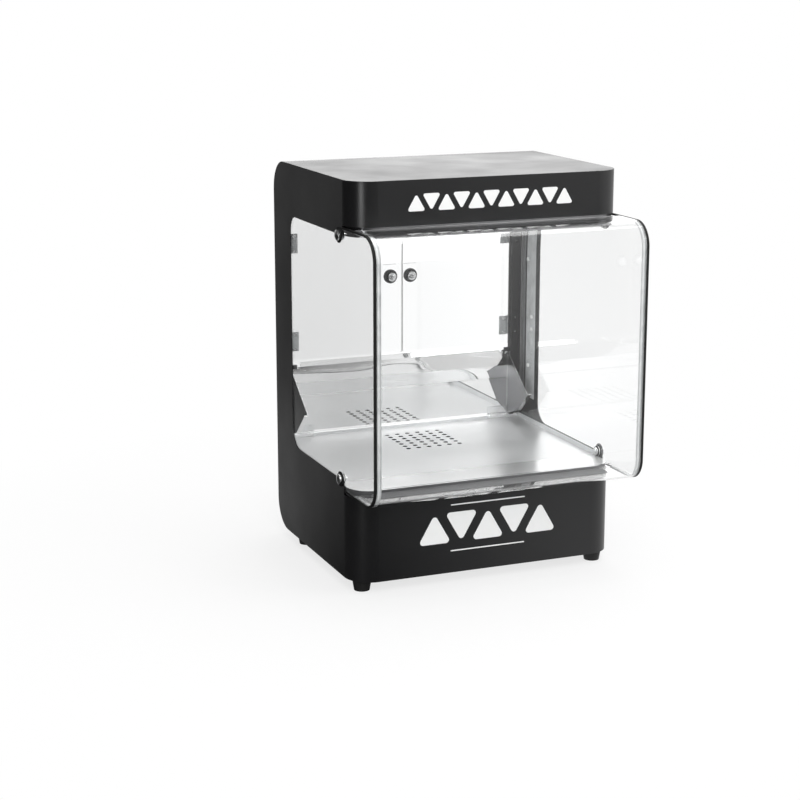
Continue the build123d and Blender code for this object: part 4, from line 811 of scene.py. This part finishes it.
def sight_lines(tree):
    """1 on rays straight from the camera or through clear sheet, and 1 on mirrored rays."""
    path = add_node(tree, "ShaderNodeLightPath").outputs
    bounced = calculate(tree, "MINIMUM", path["Glossy Depth"], 1.0)
    clear = calculate(tree, "MAXIMUM", path["Is Camera Ray"], path["Is Transmission Ray"])
    straight = calculate(tree, "SUBTRACT", clear, bounced, clamp=True)
    mirrored = calculate(tree, "SUBTRACT", bounced, path["Is Diffuse Ray"], clamp=True)
    return straight, mirrored


def seen_white(tree):
    """Strength of white where it is seen, raised a little on rays through clear sheet."""
    path = add_node(tree, "ShaderNodeLightPath").outputs
    return spread(tree, path["Is Transmission Ray"], 1.0, THROUGH_WHITE, start=0.0, end=1.0)


def across(tree, where, x_share, y_share):
    """How far a point or direction lies to the right and rear."""
    made = add_node(tree, "ShaderNodeVectorMath", {
        0: where, 1: (x_share, y_share, 0)}, operation="DOT_PRODUCT")
    return made.outputs["Value"]


def floor_material():
    """Pale floor: white away from the object, its shadow kept, darker to the left in mirrors."""
    made = new_material("floor")
    tree = made.node_tree
    straight, mirrored = sight_lines(tree)
    where = object_place(tree)
    away = add_node(tree, "ShaderNodeVectorMath", {0: where}, operation="LENGTH")
    far = spread(tree, away.outputs["Value"], 0.75, 1.0, start=0.3, end=1.1)
    grain = noise(tree, 60.0, detail=3.0)
    pale = blend_colours(tree, grain, (0.9, 0.9, 0.9), (0.92, 0.92, 0.92))
    matt = principled(tree, {
        "Base Color": blend_colours(tree, straight, (0.5, 0.5, 0.5), pale),
        "Roughness": 0.8, "Specular IOR Level": 0.1})
    near_left = spread(tree, across(tree, where, 1.0, 0.42), 0.05, 0.95, start=-0.28, end=0.12)
    far_left = spread(tree, across(tree, where, 1.0, -0.3), 0.3, 1.0, start=-1.1, end=-0.5)
    dimmed = calculate(tree, "MULTIPLY", near_left, far_left)
    level = blend_levels(tree, mirrored, seen_white(tree), dimmed)
    white = add_node(tree, "ShaderNodeEmission", {"Color": (1, 1, 1, 1), "Strength": level})
    share = calculate(tree, "MULTIPLY", straight, far)
    share = calculate(tree, "ADD", share, mirrored, clamp=True)
    mixed = add_node(tree, "ShaderNodeMixShader", {0: share, 1: matt, 2: white.outputs[0]})
    return finish_surface(made, mixed.outputs[0])


def make_floor():
    corners = [(x, y, 0) for x, y in centred(2 * FLOOR_HALF, 2 * FLOOR_HALF)]
    mesh = bpy.data.meshes.new("floor")
    mesh.from_pydata(corners, [], [(0, 1, 2, 3)])
    mesh.materials.append(floor_material())
    made = bpy.data.objects.new("floor", mesh)
    bpy.context.scene.collection.objects.link(made)


def make_world():
    """White where it is seen, plain where it lights, and dimmer to the left in mirrors."""
    world = bpy.data.worlds.new("studio")
    bpy.context.scene.world = world
    world.use_nodes = True
    tree = world.node_tree
    tree.nodes.clear()
    output = tree.nodes.new("ShaderNodeOutputWorld")
    straight, mirrored = sight_lines(tree)
    where = add_node(tree, "ShaderNodeTexCoord").outputs["Generated"]
    dimmed = spread(tree, across(tree, where, 1.0, 0.0), 0.08, 1.0, start=-0.55, end=0.3)
    level = blend_levels(tree, mirrored, WORLD_LEVEL, dimmed)
    level = blend_levels(tree, straight, level, seen_white(tree))
    light = add_node(tree, "ShaderNodeBackground", {"Color": (1, 1, 1, 1), "Strength": level})
    tree.links.new(light.outputs[0], output.inputs["Surface"])


def soft_light(name, place, aim, size, watts):
    """A square soft box aimed at a point."""
    data = bpy.data.lights.new(name, "AREA")
    data.shape = "SQUARE"
    data.size = size
    data.energy = watts
    made = bpy.data.objects.new(name, data)
    made.location = place
    made.rotation_euler = (Vector(aim) - Vector(place)).to_track_quat("-Z", "Y").to_euler()
    made.visible_camera = False
    bpy.context.scene.collection.objects.link(made)


def make_camera():
    data = bpy.data.cameras.new("camera")
    data.sensor_width = SENSOR_MM
    data.lens = FOCAL_PIXELS / IMAGE_PIXELS * SENSOR_MM
    made = bpy.data.objects.new("camera", data)
    made.location = CAMERA_PLACE
    made.rotation_euler = (math.pi / 2 - CAMERA_PITCH, 0, -CAMERA_YAW)
    bpy.context.scene.collection.objects.link(made)
    bpy.context.scene.camera = made


make_floor()
make_world()
for name, place, size, watts in LIGHTS:
    soft_light(name, place, MIDDLE, size, watts)
make_camera()
bpy.context.scene.view_settings.view_transform = "Standard"
